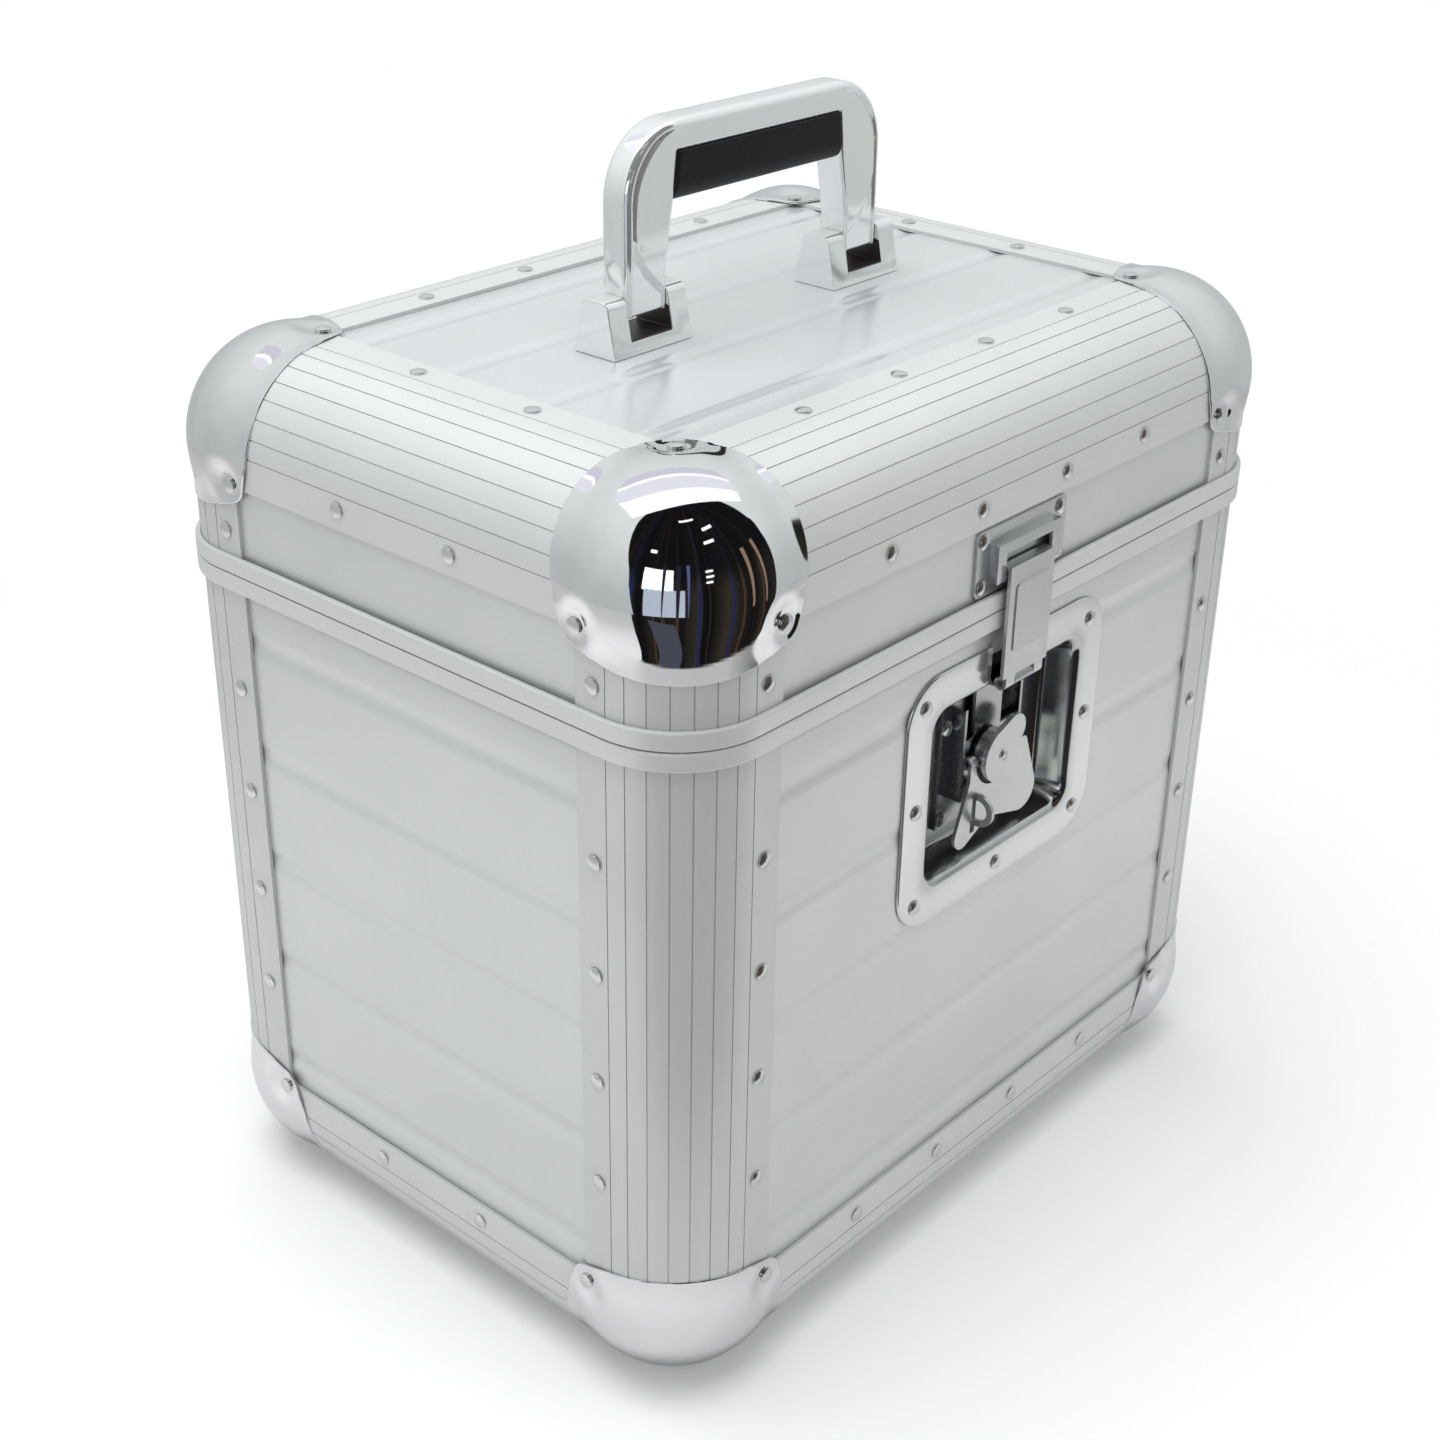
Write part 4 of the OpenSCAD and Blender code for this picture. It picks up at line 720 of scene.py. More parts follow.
def dishRings():
    # rolled rim, flat flange, round lip, leaning wall, round foot and floor, one ring after another
    front = dish["back"] + dish["thickness"]
    halfW, halfH, corner, rim = dish["width"] / 2, dish["height"] / 2, dish["corner"], dish["rim"]
    mouth = np.array([dish["mouthWidth"] / 2, dish["mouthHeight"] / 2, dish["mouthCorner"]])
    lip, floor, foot = dish["lip"], dish["floor"], dish["floorRound"]
    flange, start = np.array([halfW, halfH, corner]), mouth + lip * dish["lipOut"]
    profile = []
    for turn in np.linspace(0, np.pi / 2, 6):
        profile.append((*(flange - rim * (1 - math.cos(turn))), front - rim + rim * math.sin(turn)))
    for t in (0.33, 0.66):
        profile.append((*(flange + (start - flange) * t), front))
    lean = math.atan2(dish["lean"], front - floor)
    for turn in np.linspace(0, np.pi / 2 - lean, 10):
        topOut = lip * (dish["lipOut"] - math.sin(turn))
        profile.append((*(mouth + topOut), front - lip * (1 - math.cos(turn))))
    topZ = profile[-1][3]
    bottomZ = floor + foot * (1 - math.sin(lean))
    bottomOut = topOut - (topZ - bottomZ) * math.tan(lean)
    for t in (0.33, 0.66, 1.0):
        profile.append((*(mouth + topOut + (bottomOut - topOut) * t), topZ + (bottomZ - topZ) * t))
    for turn in np.linspace(lean, np.pi / 2, 7)[1:]:
        profile.append((*(mouth + bottomOut - foot * (math.cos(lean) - math.cos(turn))),
                        floor + foot * (1 - math.sin(turn))))
    # the floor's rings, each a share of the one before
    least, straight = dish["sharpest"], dish["straight"]
    for share in dish["floorRings"]:
        wide, tall = (v * share + least for v in profile[-1][:2])
        profile.append((wide, tall, least + 2 * share, floor))
    rings = []
    for w, h, radius, z in profile:
        x, y = roundedRing(w, h, min(max(radius, least), w - straight, h - straight))
        rings.append(latchPoint(x, y + dish["centreUp"], np.full(len(x), z)))
    return np.array(rings)


def inNotch(c):
    # the gap in the flange behind the strap, and the narrower one in the wall for the link
    across, out = np.abs(c[:, 0]), -c[:, 1] - dish["face"]
    up = c[:, 2] - dish["spindle"] - dish["centreUp"] - dish["mouthHeight"] / 2
    flange = (across < dish["notch"]) & (up > -dish["notchLap"]) & (out > dish["back"] - dish["notchLap"])
    neck = (across < dish["neck"]) & (up > -dish["neckLap"]) & (out > -dish["neckDepth"])
    return flange | neck


def onFlange(p):
    # one on the flat flange and nought at the lip, by how far outside the mouth the place lies
    beside = np.abs(p[:, 0]) - dish["mouthWidth"] / 2
    above = np.abs(p[:, 2] - dish["spindle"] - dish["centreUp"]) - dish["mouthHeight"] / 2
    return np.clip(np.maximum(beside, above) - dish["flangeStart"], 0, 1)


piece = buildPiece("dish_pressing", [patch(dishRings(), (0, -1, 0), closeColumns=True, drop=inNotch)])
markRim(piece, onFlange)
thicken(piece, dish["sheet"])
finishPiece(piece, "case", "latch_chrome", "dishChrome", "latch_dish")

# CAD parts whose edges are rounded on a copy: node, piece, body, slot, finish, width of the round
roundedParts = (
    ("wing_plate", "wing_pressing", "wing", "latch_chrome", "latchPlate", 0.4),
    ("hook_strap", "hook_pressing", "hook", "latch_chrome", "latchPlate", 0.45),
    ("catch_plate", "catch_pressing", "lid", "latch_chrome", "latchPlate", 0.4),
    ("latch_plate", "latch_base", "case", "latch_steel", "latchSteel", 0.25),
    ("hook_link", "link_pressing", "slide", "latch_steel", "latchSteel", 0.25),
    ("key_spindle", "spindle_turned", "key", "spindle_chrome", "latchPlate", 0.3),
    ("body_frame", "bead_body", "case", "frame_aluminium", "frame", 0.35),
    ("lid_frame", "bead_lid", "lid", "frame_aluminium", "frame", 0.35),
    ("hinge_body_leaves", "hinge_leaves_body", "case", "hinge_steel", "hinge", 0.3),
    ("hinge_lid_leaves", "hinge_leaves_lid", "lid", "hinge_steel", "hinge", 0.3),
    ("handle_base_left", "handle_foot_left", "lid", "handle_chrome", "handleFoot", 1.5),
    ("handle_base_right", "handle_foot_right", "lid", "handle_chrome", "handleFoot", 1.5))
for nodeName, name, body, slot, finish, width in roundedParts:
    finishPiece(softenedCopy(nodeName, name, width), body, slot, finish, nodeName)

# small rivet in the middle of the wing's disc: face of the disc, dome, and a thin seat round it
discRivet = {"face": -0.6, "head": 1.9, "rise": 0.75, "gap": 0.15, "gapDepth": 0.02, "seatFrom": 2.3,
             "seatTo": 2.7, "seatRise": 0.12, "seatBevel": (0.06, 0.1), "seatFoot": 0.15, "thickness": 0.4,
             "turns": 40}


def discRivetRings():
    # low dome inside a thin raised seat, swept round the spindle's axis
    t = np.linspace(0, np.pi / 2, 12)
    dome = np.stack([discRivet["head"] * np.sin(t), discRivet["rise"] * np.cos(t)], axis=-1)
    inner, outer = discRivet["seatBevel"]
    seat = np.array([
        (discRivet["head"] + discRivet["gap"], -discRivet["gapDepth"]),
        (discRivet["seatFrom"], -discRivet["gapDepth"]),
        (discRivet["seatFrom"] + inner, discRivet["seatRise"]),
        (discRivet["seatTo"], discRivet["seatRise"]),
        (discRivet["seatTo"] + outer, -discRivet["seatFoot"])])
    profile = np.concatenate([dome, seat])
    turn = np.linspace(0, 2 * np.pi, discRivet["turns"], endpoint=False)
    r, z = profile[:, 0, None], profile[:, 1, None] + discRivet["face"]
    return latchPoint(r * np.cos(turn), r * np.sin(turn), z + 0 * turn)


piece = buildPiece("disc_rivet", [patch(discRivetRings(), (0, -1, 0), closeColumns=True)])
thicken(piece, discRivet["thickness"])
finishPiece(piece, "key", "spindle_chrome", "rivet")
print("latch, hinges and handle feet done")

# handle, in millimetres up from its base on the lid; the channel lies between its rim and the inner plate
handle = {
    "base": 371.25, "halfWidth": 74.0, "height": 80.0, "thickness": 13.5, "corner": 28.0, "legEnd": 11.6,
    "leg": 21.0, "legTop": 27.0, "legLean": 2.0, "legStraight": 26.0, "gripFoot": 49.5, "gripTop": 68.5,
    "cornerShare": 0.72, "outerRound": 3.0, "innerRound": 1.4, "channel": 0.7, "plateWaist": 43.0,
    "plateEdge": 0.16, "plateBelow": (0.8, 25.0), "plateAbove": (0.12, 30.0), "plateSoft": 0.35,
    "fadeFrom": 54.0, "fadeRise": 14.0, "fadeEnd": 45.0, "fadeRun": 14.0}


def innerEdge(z):
    # x of the left leg's inner edge: straight at the foot, then leaning in towards the grip
    heights = [0, handle["legStraight"], handle["gripFoot"], handle["gripTop"]]
    widths = [handle["leg"], handle["leg"], handle["legTop"] - handle["legLean"], handle["legTop"]]
    return np.interp(z, heights, widths) - handle["halfWidth"]


def handleOutline():
    # outer and inner points that face each other along the left leg, the corner and half the bar
    w, top, r = handle["halfWidth"], handle["height"], handle["corner"]
    legZ = np.linspace(handle["legEnd"], top - r, 42)
    turn = np.linspace(0, np.pi / 2, 30)[1:]
    barX = np.linspace(r - w, 0, 14)[1:]
    outer = [np.stack([np.full_like(legZ, -w), legZ], axis=-1),
             np.stack([r - w - r * np.cos(turn), top - r + r * np.sin(turn)], axis=-1),
             np.stack([barX, np.full_like(barX, top)], axis=-1)]
    share, bend = turn / (np.pi / 2), handle["cornerShare"]
    z = top - r + (handle["gripTop"] - top + r) * np.minimum(1, share / bend)
    x = innerEdge(z) + np.maximum(0, share - bend) / (1 - bend) * (r - w - innerEdge(handle["gripTop"]))
    inner = [np.stack([innerEdge(legZ), legZ], axis=-1), np.stack([x, z], axis=-1),
             np.stack([barX, np.full_like(barX, handle["gripTop"])], axis=-1)]
    outer, inner = np.concatenate(outer), np.concatenate(inner)
    mirror = np.array([-1, 1])
    return np.concatenate([outer, outer[-2::-1] * mirror]), np.concatenate([inner, inner[-2::-1] * mirror])


def handleRings():
    # rounded oblong between outer and inner edge; an inner plate stands a little proud of a channel
    outer, inner = handleOutline()
    width = np.linalg.norm(inner - outer, axis=1)[:, None]
    along = (inner - outer) / width
    half, big, small = handle["thickness"] / 2, handle["outerRound"], handle["innerRound"]
    turn = np.linspace(0, np.pi / 2, 7)
    span = np.linspace(0, 1, 44)[1:-1]
    across, side, face = [], [], []

    def add(s, y, onFace=0.0):
        # s: way from the outer edge to the inner one; y: place through the thickness
        across.append(np.broadcast_to(s, (len(width), s.shape[-1])))
        side.append(y)
        face.append(np.full(s.shape[-1], onFace))

    add(big * (1 - np.cos(turn)), big - half - big * np.sin(turn))
    add(big + (width - big - small) * span, np.full(span.shape, -half), -1.0)
    add(width - small + small * np.sin(turn), -half + small * (1 - np.cos(turn)))
    add(width - small * (1 - np.cos(turn)), half - small + small * np.sin(turn))
    add(width - small - (width - big - small) * span, np.full(span.shape, half), 1.0)
    add(big * (1 - np.sin(turn)), half - big + big * np.cos(turn))
    s, y, onFace = np.concatenate(across, axis=1), np.concatenate(side), np.concatenate(face)
    place = outer[:, None] + along[:, None] * s[..., None]
    # the plate's edge swings from the grip's top corner out across the leg and back in above the foot
    rise = place[..., 1] - handle["plateWaist"]
    below, above = (swing * (rise / run) ** 2 for swing, run in (handle["plateBelow"], handle["plateAbove"]))
    edge = handle["plateEdge"] + np.where(rise < 0, below, above)
    # a soft step over the edge, held where its power would run out of range
    inPlate = 1 / (1 + np.exp(-np.clip((s / width - edge) * width / handle["plateSoft"], -30, 30)))
    high = np.clip((place[..., 1] - handle["fadeFrom"]) / handle["fadeRise"], 0, 1)
    out = np.clip((np.abs(place[..., 0]) - handle["fadeEnd"]) / handle["fadeRun"], 0, 1)
    onLeg = 1 - high * (1 - out * out * (3 - 2 * out))
    depth = handle["channel"] * (1 - inPlate) * onLeg * np.abs(onFace)
    return np.stack([place[..., 0], y - np.sign(onFace) * depth, handle["base"] + place[..., 1]], axis=-1)


piece = buildPiece("handle_arch", [tubeOf(handleRings())], closed=True)
finishPiece(piece, "handle", "handle_chrome", "handleChrome", "handle_bow")

grip = {"half": 7.5, "rows": 60, "edge": 0.8, "gap": 0.1}


def gripRings():
    # D section: straight cheeks and a round underside, its ends sloping with the legs
    r, e, top = grip["half"], grip["edge"], handle["gripTop"] - grip["edge"]
    turn = np.linspace(0, np.pi, 40)
    low = np.stack([-r * np.cos(turn), handle["gripFoot"] + r - r * np.sin(turn)], axis=-1)
    rise = np.linspace(0, 1, 8)[1:]
    right = np.stack([np.full_like(rise, r), low[-1, 1] + (top - low[-1, 1]) * rise], axis=-1)
    bend = np.linspace(0, np.pi / 2, 5)[1:]
    shoulder = np.stack([r - e + e * np.cos(bend), top + e * np.sin(bend)], axis=-1)
    section = np.concatenate([low, right, shoulder, shoulder[::-1] * (-1, 1), right[::-1] * (-1, 1)])
    ends = -innerEdge(section[:, 1]) - grip["gap"]
    rings = np.empty((grip["rows"], len(section), 3))
    rings[..., 0] = np.linspace(-1, 1, grip["rows"])[:, None] * ends
    rings[..., 1] = section[:, 0]
    rings[..., 2] = handle["base"] + section[:, 1]
    return rings


piece = buildPiece("grip_moulding", [tubeOf(gripRings())], closed=True)
finishPiece(piece, "handle", "grip_plastic", "grip", "handle_grip")
print("handle done")

pad = {"crown": 0.7, "edge": 2.2, "cells": 70, "fill": 0.6}


def padShell(low, high):
    # slab whose faces swell by one less the fourth power of each way out, with a quarter round at the edges
    t = np.linspace(-1, 1, pad["cells"])
    u, v = np.meshgrid(t, t)
    half, middle = (high - low) / 2, (high + low) / 2
    gap = np.minimum((1 - np.abs(u)) * half[0], (1 - np.abs(v)) * half[1])
    swell = pad["crown"] * (1 - u ** 4) * (1 - v ** 4)
    roll = pad["edge"] * (1 - np.sqrt(np.clip(1 - (1 - np.minimum(gap / pad["edge"], 1)) ** 2, 0, 1)))
    rise = half[2] - pad["crown"] + swell - roll
    x, y = middle[0] + u * half[0], middle[1] + v * half[1]
    top, bottom = (np.stack([x, y, middle[2] + side * rise], axis=-1) for side in (1, -1))
    rims = [np.stack([top[pick], bottom[pick]]) for pick in (np.s_[0], np.s_[-1], np.s_[:, 0], np.s_[:, -1])]
    return [patch(points) for points in (top, bottom, *rims)]


for name, body in (("base_pad", "case"), ("lid_pad", "lid")):
    low, high = (np.array(v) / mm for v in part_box(name))
    piece = buildPiece("foam_" + name, padShell(low, high), closed=True)
    finishPiece(piece, body, "lining_foam", "foam", name)
print("pads done")

# camera, floor and lamps, in metres and radians, but the lens, its sensor and floorHalf in millimetres;
# mirrorRings are the distances of the floor's mirrored greys, which are painted shade, and a lamp is (name,
# place, target, size, power)
studio = {
    "location": (-0.6358, -0.5457, 0.62295), "yaw": -0.8526, "pitch": -0.4798, "roll": 0.0153, "lens": 54.70,
    "sensor": 36, "clip": 0.01, "white": (1, 1, 1, 1), "sky": 0.54, "floorTone": (0.88, 0.88, 0.88, 1),
    "floorGlow": 0.12, "floorFade": (0.3, 0.75), "floorHalf": 4000.0, "mirroredFloorShade": (0.65, 0.73, 0.5),
    "mirrorRings": (0.3, 0.48, 0.85),
    "lamps": (("roof lamp", (-0.25, 0.05, 1.5), (-0.1, 0, 0), (1.5, 1.2), 22.5),
              ("front fill", (0.6, -1.7, 0.4), (0, 0, 0.1), (1.4, 0.8), 6.0),
              ("side fill", (-1.8, 0.3, 0.4), (0, 0, 0.1), (1.4, 0.8), 3.2))}


def makeCamera():
    # looks along its yaw and pitch, then rolls about that line
    yaw, pitch, roll = studio["yaw"], studio["pitch"], studio["roll"]
    ahead = Vector((-math.sin(yaw) * math.cos(pitch), math.cos(yaw) * math.cos(pitch), math.sin(pitch)))
    right = Vector((math.cos(yaw), math.sin(yaw), 0))
    up = right.cross(ahead)
    turnedRight = math.cos(roll) * right + math.sin(roll) * up
    turnedUp = -math.sin(roll) * right + math.cos(roll) * up
    data = bpy.data.cameras.new("studio camera")
    data.lens = studio["lens"]
    data.sensor_width = studio["sensor"]
    data.clip_start = studio["clip"]
    camera = bpy.data.objects.new("studio camera", data)
    turned = Matrix((turnedRight, turnedUp, -ahead)).transposed().to_4x4()
    camera.matrix_world = Matrix.Translation(studio["location"]) @ turned
    scene.collection.objects.link(camera)
    scene.camera = camera


def emptyTree(owner, kind):
    # a node tree with its output alone, and the surface socket of that output
    owner.use_nodes = True
    owner.node_tree.nodes.clear()
    return owner.node_tree, addNode(owner.node_tree, kind).inputs["Surface"]


def mixedShader(tree, share, first, second):
    # the first shader where the share is nought and the second where it is one
    return feedSlots(tree, addNode(tree, "ShaderNodeMixShader"), {0: share, 1: first, 2: second}).outputs[0]


def makeWorld():
    # soft white light, and a plain white background for the camera's rays and for mirrored or bent ones
    world = bpy.data.worlds.new("white studio")
    tree, surface = emptyTree(world, "ShaderNodeOutputWorld")
    path = addNode(tree, "ShaderNodeLightPath").outputs
    shiny = maths(tree, "MAXIMUM", path["Is Glossy Ray"], path["Is Transmission Ray"])
    light, white = (addNode(tree, "ShaderNodeBackground", Color=studio["white"], Strength=strength).outputs[0]
                    for strength in (studio["sky"], 1.0))
    feed(tree, surface, mixedShader(tree, maths(tree, "MAXIMUM", path["Is Camera Ray"], shiny), light, white))
    scene.world = world


def makeFloor():
    # plain pale floor: matt, going over to the white backdrop some way out from the case, keeping the shadow
    material = bpy.data.materials.new("studio floor")
    tree, surface = emptyTree(material, "ShaderNodeOutputMaterial")
    path = addNode(tree, "ShaderNodeLightPath").outputs
    place = addNode(tree, "ShaderNodeTexCoord").outputs["Object"]
    away = addNode(tree, "ShaderNodeVectorMath", {"operation": "LENGTH"}, Vector=place).outputs["Value"]
    # painted shade on what metal mirrors of it: lightest a little way out, greying off under the case and far
    # from it
    (under, ring, far), (near, middle, end) = studio["mirroredFloorShade"], studio["mirrorRings"]
    grey = maths(tree, "MINIMUM", stretched(tree, away, near, middle, under, ring),
                 stretched(tree, away, middle, end, ring, far))
    shade = mixed(tree, path["Is Glossy Ray"], studio["floorTone"], grey)
    matt = addNode(tree, "ShaderNodeBsdfDiffuse", Color=shade)
    fade = stretched(tree, away, *studio["floorFade"], studio["floorGlow"], 1.0, "SMOOTHSTEP")
    white = addNode(tree, "ShaderNodeEmission", Color=studio["white"], Strength=1.0)
    seen = maths(tree, "MULTIPLY", fade, path["Is Camera Ray"])
    feed(tree, surface, mixedShader(tree, seen, matt.outputs[0], white.outputs[0]))
    side = np.linspace(-studio["floorHalf"], studio["floorHalf"], 3)
    x, y = np.meshgrid(side, side)
    floor = buildPiece("studio_floor", [patch(np.stack([x, y, np.zeros_like(x)], axis=-1), (0, 0, 1))])
    floor.data.materials.append(material)


def makeLamp(name, place, target, size, power):
    # a soft lamp for the light itself; the tent's own sheets are what metal mirrors
    data = bpy.data.lights.new(name, "AREA")
    data.shape = "RECTANGLE"
    data.size, data.size_y = size
    data.energy = power
    lamp = bpy.data.objects.new(name, data)
    lamp.location = place
    lamp.rotation_euler = (Vector(target) - Vector(place)).to_track_quat("-Z", "Y").to_euler()
    lamp.visible_glossy = False
    scene.collection.objects.link(lamp)


# the tent that bright metal mirrors, in millimetres and degrees, with wallRise in metres; an edge of the
# dome is one bearing, or (elevations, the bearings at them)
tent = {
    "centre": (-145.0, -97.0, 331.0), "radius": 1300.0, "foot": -14.7, "cells": 48,
    "left": ((-15, 20, 56, 90), (-174, -182, -202, -212)), "right": ((-15, 7, 41, 90), (-46, -42, -37, -30)),
    "wallLow": (0.51, 0.535, 0.53, 1), "wallHigh": (0.83, 0.855, 0.86, 1), "wallRise": (0.1, 1.5),
    "folds": (2.2, 2.0), "foldBand": (0.3, 0.7), "foldShade": (0.96, 1.03)}


def reflectedOnly(points, name, material, facing=None):
    # a stage sheet that only glossy rays meet
    sheet = buildPiece(name, [patch(points, facing)])
    sheet.data.materials.append(material)
    sheet.visible_camera = sheet.visible_diffuse = sheet.visible_shadow = False
    sheet.visible_transmission = sheet.visible_volume_scatter = False


def glowMaterial(name, colour):
    # colour: a plain one, or a function that makes it from the place
    material = bpy.data.materials.new(name)
    tree, surface = emptyTree(material, "ShaderNodeOutputMaterial")
    place = addNode(tree, "ShaderNodeTexCoord").outputs["Object"]
    made = colour(tree, place) if callable(colour) else (*colour, 1)
    feed(tree, surface, addNode(tree, "ShaderNodeEmission", Color=made, Strength=1.0).outputs[0])
    material.cycles.emission_sampling = "NONE"
    return material


def wallGlow(tree, place):
    # tent cloth: greyer near the table, lighter towards the roof, with slow folds
    height = addNode(tree, "ShaderNodeSeparateXYZ", Vector=place).outputs["Z"]
    rise = stretched(tree, height, *tent["wallRise"], curve="SMOOTHSTEP")
    folds = noise(tree, place, *tent["folds"])
    shade = stretched(tree, folds, *tent["foldBand"], *tent["foldShade"])
    tone = mixed(tree, rise, tent["wallLow"], tent["wallHigh"])
    return addNode(tree, "ShaderNodeVectorMath", {"operation": "SCALE"}, Vector=tone, Scale=shade).outputs[0]


# the unlit room in front of the tent, in degrees, with barHeight in metres over the tent's centre; a bar
# is (scale, start, full, colour), a lamp is (bearing, elevation, width, height), the window and its lit
# pane are (bearings, elevations, colour), an upright is (bearing, width, colour), and each radius is a
# share of the tent's
room = {
    "black": (0.006, 0.006, 0.007, 1), "barHeight": (0.55, 0.1), "barFaint": 0.12, "barDetail": 1.5,
    "bars": ((2.2, 0.42, 0.75, (0.045, 0.038, 0.028, 1)), (9.0, 0.58, 0.68, (0.07, 0.042, 0.026, 1)),
             (6.0, 0.62, 0.68, (0.016, 0.024, 0.09, 1))),
    "lamps": ((-92, 57, 16, 2.6), (-99, 46, 13, 2.4), (-108, 23, 7, 1.6), (-108, 18.5, 7, 1.6),
              (-109, 14, 6, 1.6), (-163, 40, 7, 2.6), (-120, 68, 30, 1.6)),
    "lampColour": (1.6, 1.6, 1.65), "lampRadius": 0.97, "lampCells": 4,
    "window": ((-166, -131), (-14, 9), (0.5, 0.56, 0.66)), "pane": ((-168, -141), (8, 26), (1.5, 1.5, 1.45)),
    "windowRadius": 0.98, "uprightRadius": 0.96, "cells": 8,
    "uprights": ((-150, 1.6, (0.02, 0.02, 0.03)), (-137, 3.0, (0.02, 0.02, 0.03)),
                 (-128, 1.4, (0.1, 0.12, 0.3)), (-70, 2.5, (0.3, 0.2, 0.14)), (-56, 2.0, (0.3, 0.2, 0.14))),
    "uprightSpan": (-14, 30), "uprightLean": 0.06}


def roomGlow(tree, place):
    # near black, with upright bars of brown and blue low down
    about = addNode(tree, "ShaderNodeVectorMath", {"operation": "SUBTRACT"}, Vector=place)
    about.inputs[1].default_value = [mm * v for v in tent["centre"]]
    parts = addNode(tree, "ShaderNodeSeparateXYZ", Vector=about.outputs["Vector"]).outputs
    bearing = maths(tree, "ARCTAN2", parts["Y"], parts["X"])
    low = stretched(tree, parts["Z"], *room["barHeight"], room["barFaint"], 1.0, "SMOOTHSTEP")
    tone = room["black"]
    for scale, start, full, colour in room["bars"]:
        bars = addNode(tree, "ShaderNodeTexNoise", {"noise_dimensions": "1D"}, W=bearing, Scale=scale,
                       Detail=room["barDetail"])
        share = stretched(tree, bars.outputs["Fac"], start, full)
        tone = mixed(tree, maths(tree, "MULTIPLY", share, low), tone, colour)
    return tone


def bearingAt(edge, elevation):
    # radians of the edge at each elevation
    return np.radians(np.interp(elevation, *edge) if isinstance(edge, tuple) else edge + 0 * elevation)


def domePoints(leftEdge, rightEdge, low, high, radius, cells):
    # piece of a dome about the tent's centre, between two edges and two elevations
    share, elevation = np.meshgrid(np.linspace(0, 1, cells), np.linspace(low, high, cells))
    left, right = bearingAt(leftEdge, elevation), bearingAt(rightEdge, elevation)
    azimuth, elevation = left + (right - left) * share, np.radians(elevation)
    return np.array(tent["centre"]) + tent["radius"] * radius * np.stack([
        np.cos(elevation) * np.cos(azimuth), np.cos(elevation) * np.sin(azimuth), np.sin(elevation)], axis=-1)


def makeTent(dark):
    # light walls behind and beside the case, and the dark opening in front of it
    heights, bearings = tent["left"]
    turned = (heights, tuple(bearing + 360 for bearing in bearings))
    wall = domePoints(tent["right"], turned, tent["foot"], 90, 1.0, tent["cells"])
    opening = domePoints(tent["left"], tent["right"], tent["foot"], 90, 1.0, tent["cells"])
    reflectedOnly(wall, "tent_wall", glowMaterial("tent wall glow", wallGlow))
    reflectedOnly(opening, "tent_opening", dark)


def makeRoom():
    # lamps, a window with its lit pane, and uprights that widen with their height
    bright = glowMaterial("room lamp glow", room["lampColour"])
    for i, (bearing, up, wide, tall) in enumerate(room["lamps"]):
        points = domePoints(bearing - wide / 2, bearing + wide / 2, up - tall / 2, up + tall / 2,
                            room["lampRadius"], room["lampCells"])
        reflectedOnly(points, f"room_lamp_{i}", bright)
    for key, name, glow in (("window", "room_window", "room window glow"),
                            ("pane", "window_pane", "window pane glow")):
        bearings, elevations, colour = room[key]
        points = domePoints(*bearings, *elevations, room["windowRadius"], room["cells"])
        reflectedOnly(points, name, glowMaterial(glow, colour))
    span = room["uprightSpan"]
    for i, (bearing, wide, colour) in enumerate(room["uprights"]):
        right = (span, tuple(bearing + wide / 2 + room["uprightLean"] * height for height in span))
        points = domePoints(bearing - wide / 2, right, *span, room["uprightRadius"], room["cells"])
        reflectedOnly(points, f"room_upright_{i}", glowMaterial(f"upright glow {i}", colour))


# soft lamp over the case: its two edges by three places each, in multiples of its height over the tent's
# centre, and its strips from the near edge to the far one as (first row, last row, colour)
softLamp = {
    "height": 900.0, "rows": 13, "cells": 24,
    "near": ((-0.6, 0.39), (0.05, -0.17), (1.05, -0.41)), "far": ((0.03, 1.64), (0.42, 0.62), (1.53, 0.15)),
    "strips": ((0, 4, (1.3, 1.3, 1.33)), (4, 8, (0.9, 0.88, 0.98)), (8, 9, (1.3, 1.3, 1.33)),
               (9, 12, (0.72, 0.69, 0.8)))}
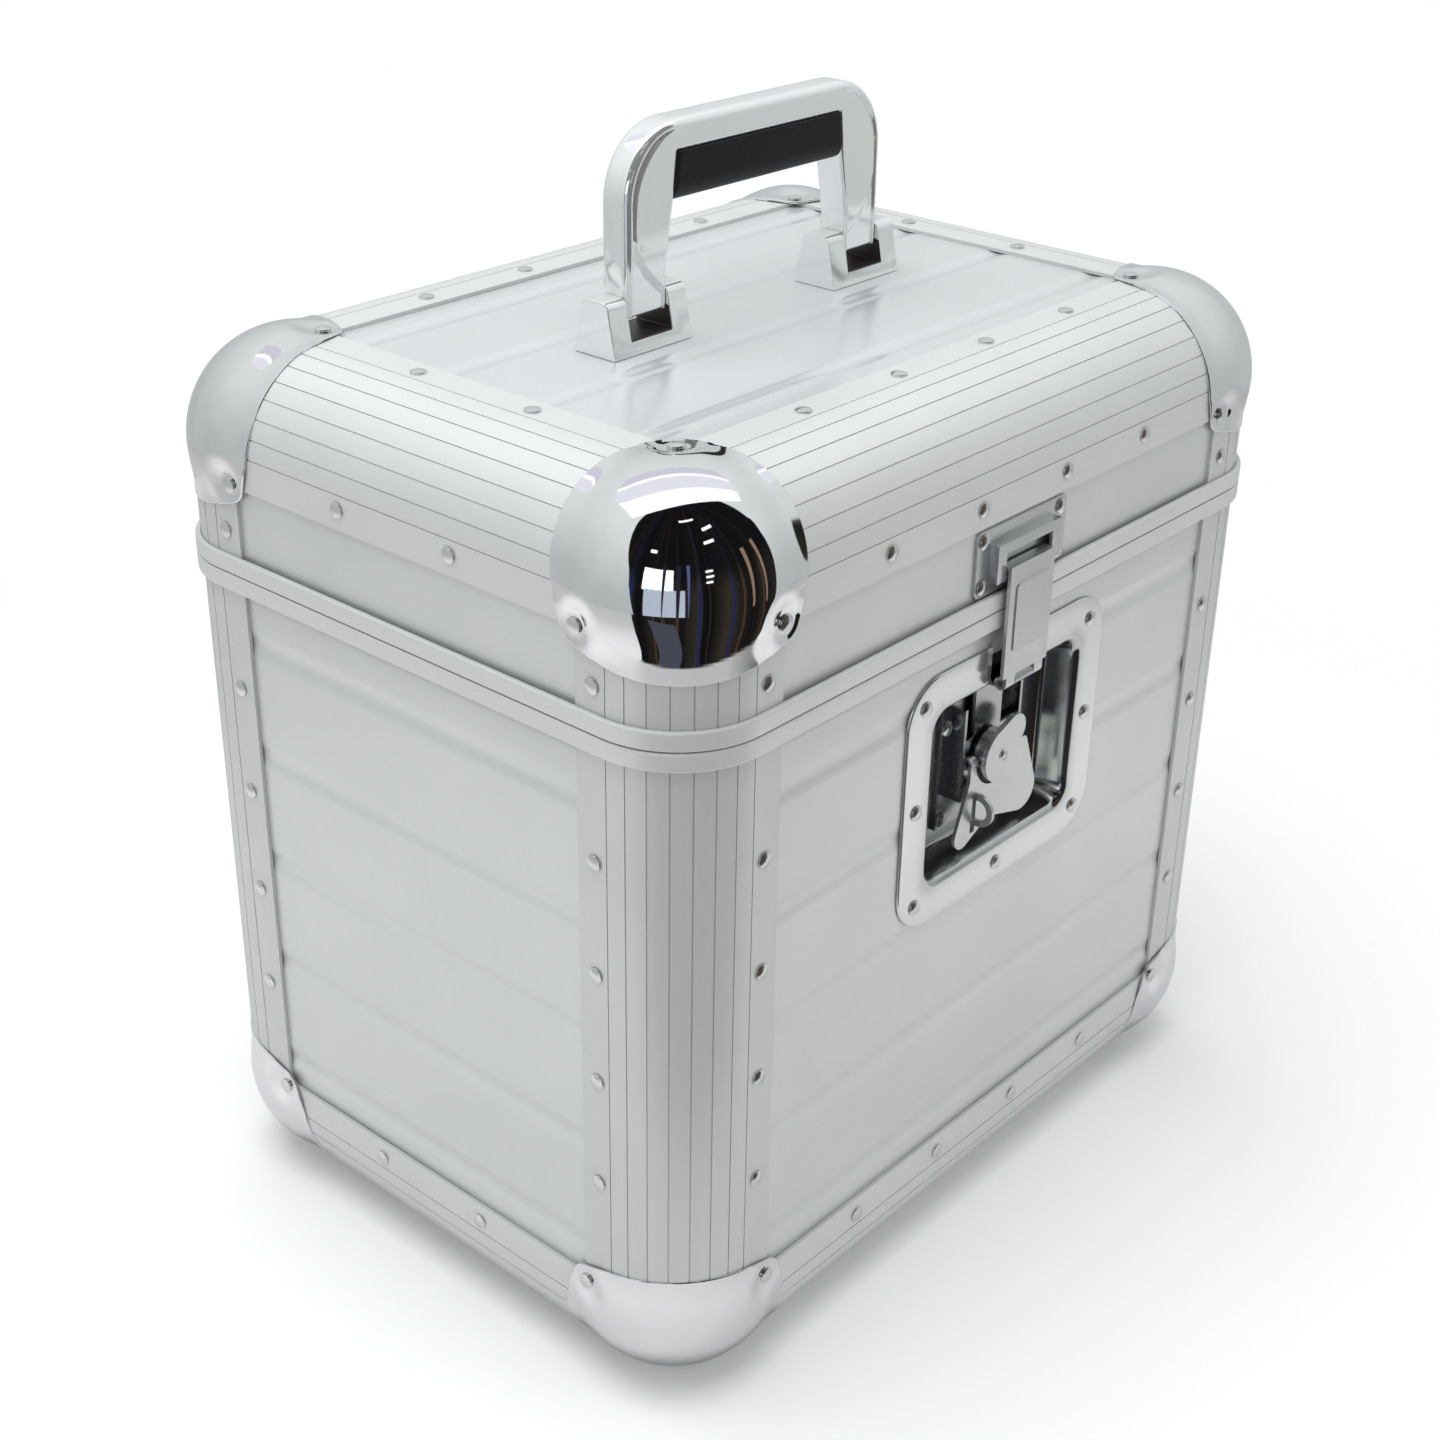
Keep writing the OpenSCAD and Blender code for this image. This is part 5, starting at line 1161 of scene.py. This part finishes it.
# dark ground from the table's edge to the foot of the dome, and a pale glare on it, in millimetres
ground = {
    "table": ((-410.0, -150.0), (-30.0, -370.0)), "sweep": (-176, -45), "reach": 0.975, "height": 0.6,
    "glareNear": ((-400.0, -250.0), (-290.0, -310.0)), "glareFar": ((-1150.0, -430.0), (-850.0, -700.0)),
    "glareHeight": 0.9, "glareColour": (0.07, 0.075, 0.1), "cells": 25, "rows": 10, "glareCells": 4}


def quadratic(places, count):
    # the curve through three places at the start, the middle and the end
    a, b, c = np.array(places)
    t = np.linspace(0, 1, count)[:, None]
    return (1 - t) * (1 - 2 * t) * a + 4 * t * (1 - t) * b + t * (2 * t - 1) * c


def ruled(near, far, rows, height):
    # straight lines from one curve to another, all at one height
    flat = near + (far - near) * np.linspace(0, 1, rows)[:, None, None]
    return np.concatenate([flat, np.full(flat.shape[:2] + (1,), height)], axis=-1)


def makeSoftLamp():
    # cloth between its near and far edge, in strips of their own glow
    high = softLamp["height"]
    near, far = (quadratic(softLamp[key], softLamp["cells"]) * high for key in ("near", "far"))
    lamp = ruled(near, far, softLamp["rows"], high) + np.array(tent["centre"])
    for i, (first, last, colour) in enumerate(softLamp["strips"]):
        reflectedOnly(lamp[first:last + 1], f"soft_lamp_{i}", glowMaterial(f"soft lamp glow {i}", colour))


def makeGround(dark):
    # both are ruled from a straight near edge, the ground to an arc of the dome's foot
    edge = np.linspace(*np.array(ground["table"]), ground["cells"])
    sweep = np.radians(np.linspace(*ground["sweep"], ground["cells"]))
    around = np.stack([np.cos(sweep), np.sin(sweep)], axis=-1)
    foot = np.array(tent["centre"][:2]) + tent["radius"] * ground["reach"] * around
    reflectedOnly(ruled(edge, foot, ground["rows"], ground["height"]), "room_ground", dark, (0, 0, 1))
    cells = ground["glareCells"]
    near, far = (np.linspace(*np.array(ground[key]), cells) for key in ("glareNear", "glareFar"))
    pale = glowMaterial("ground glare glow", ground["glareColour"])
    glare = ruled(near, far, cells, ground["glareHeight"])
    reflectedOnly(glare, "room_ground_glare", pale, (0, 0, 1))


makeCamera()
makeWorld()
makeFloor()
openFront = glowMaterial("open front glow", roomGlow)
makeTent(openFront)
makeRoom()
makeSoftLamp()
makeGround(openFront)
for lamp in studio["lamps"]:
    makeLamp(*lamp)
scene.view_settings.view_transform = "Standard"
print("studio done")
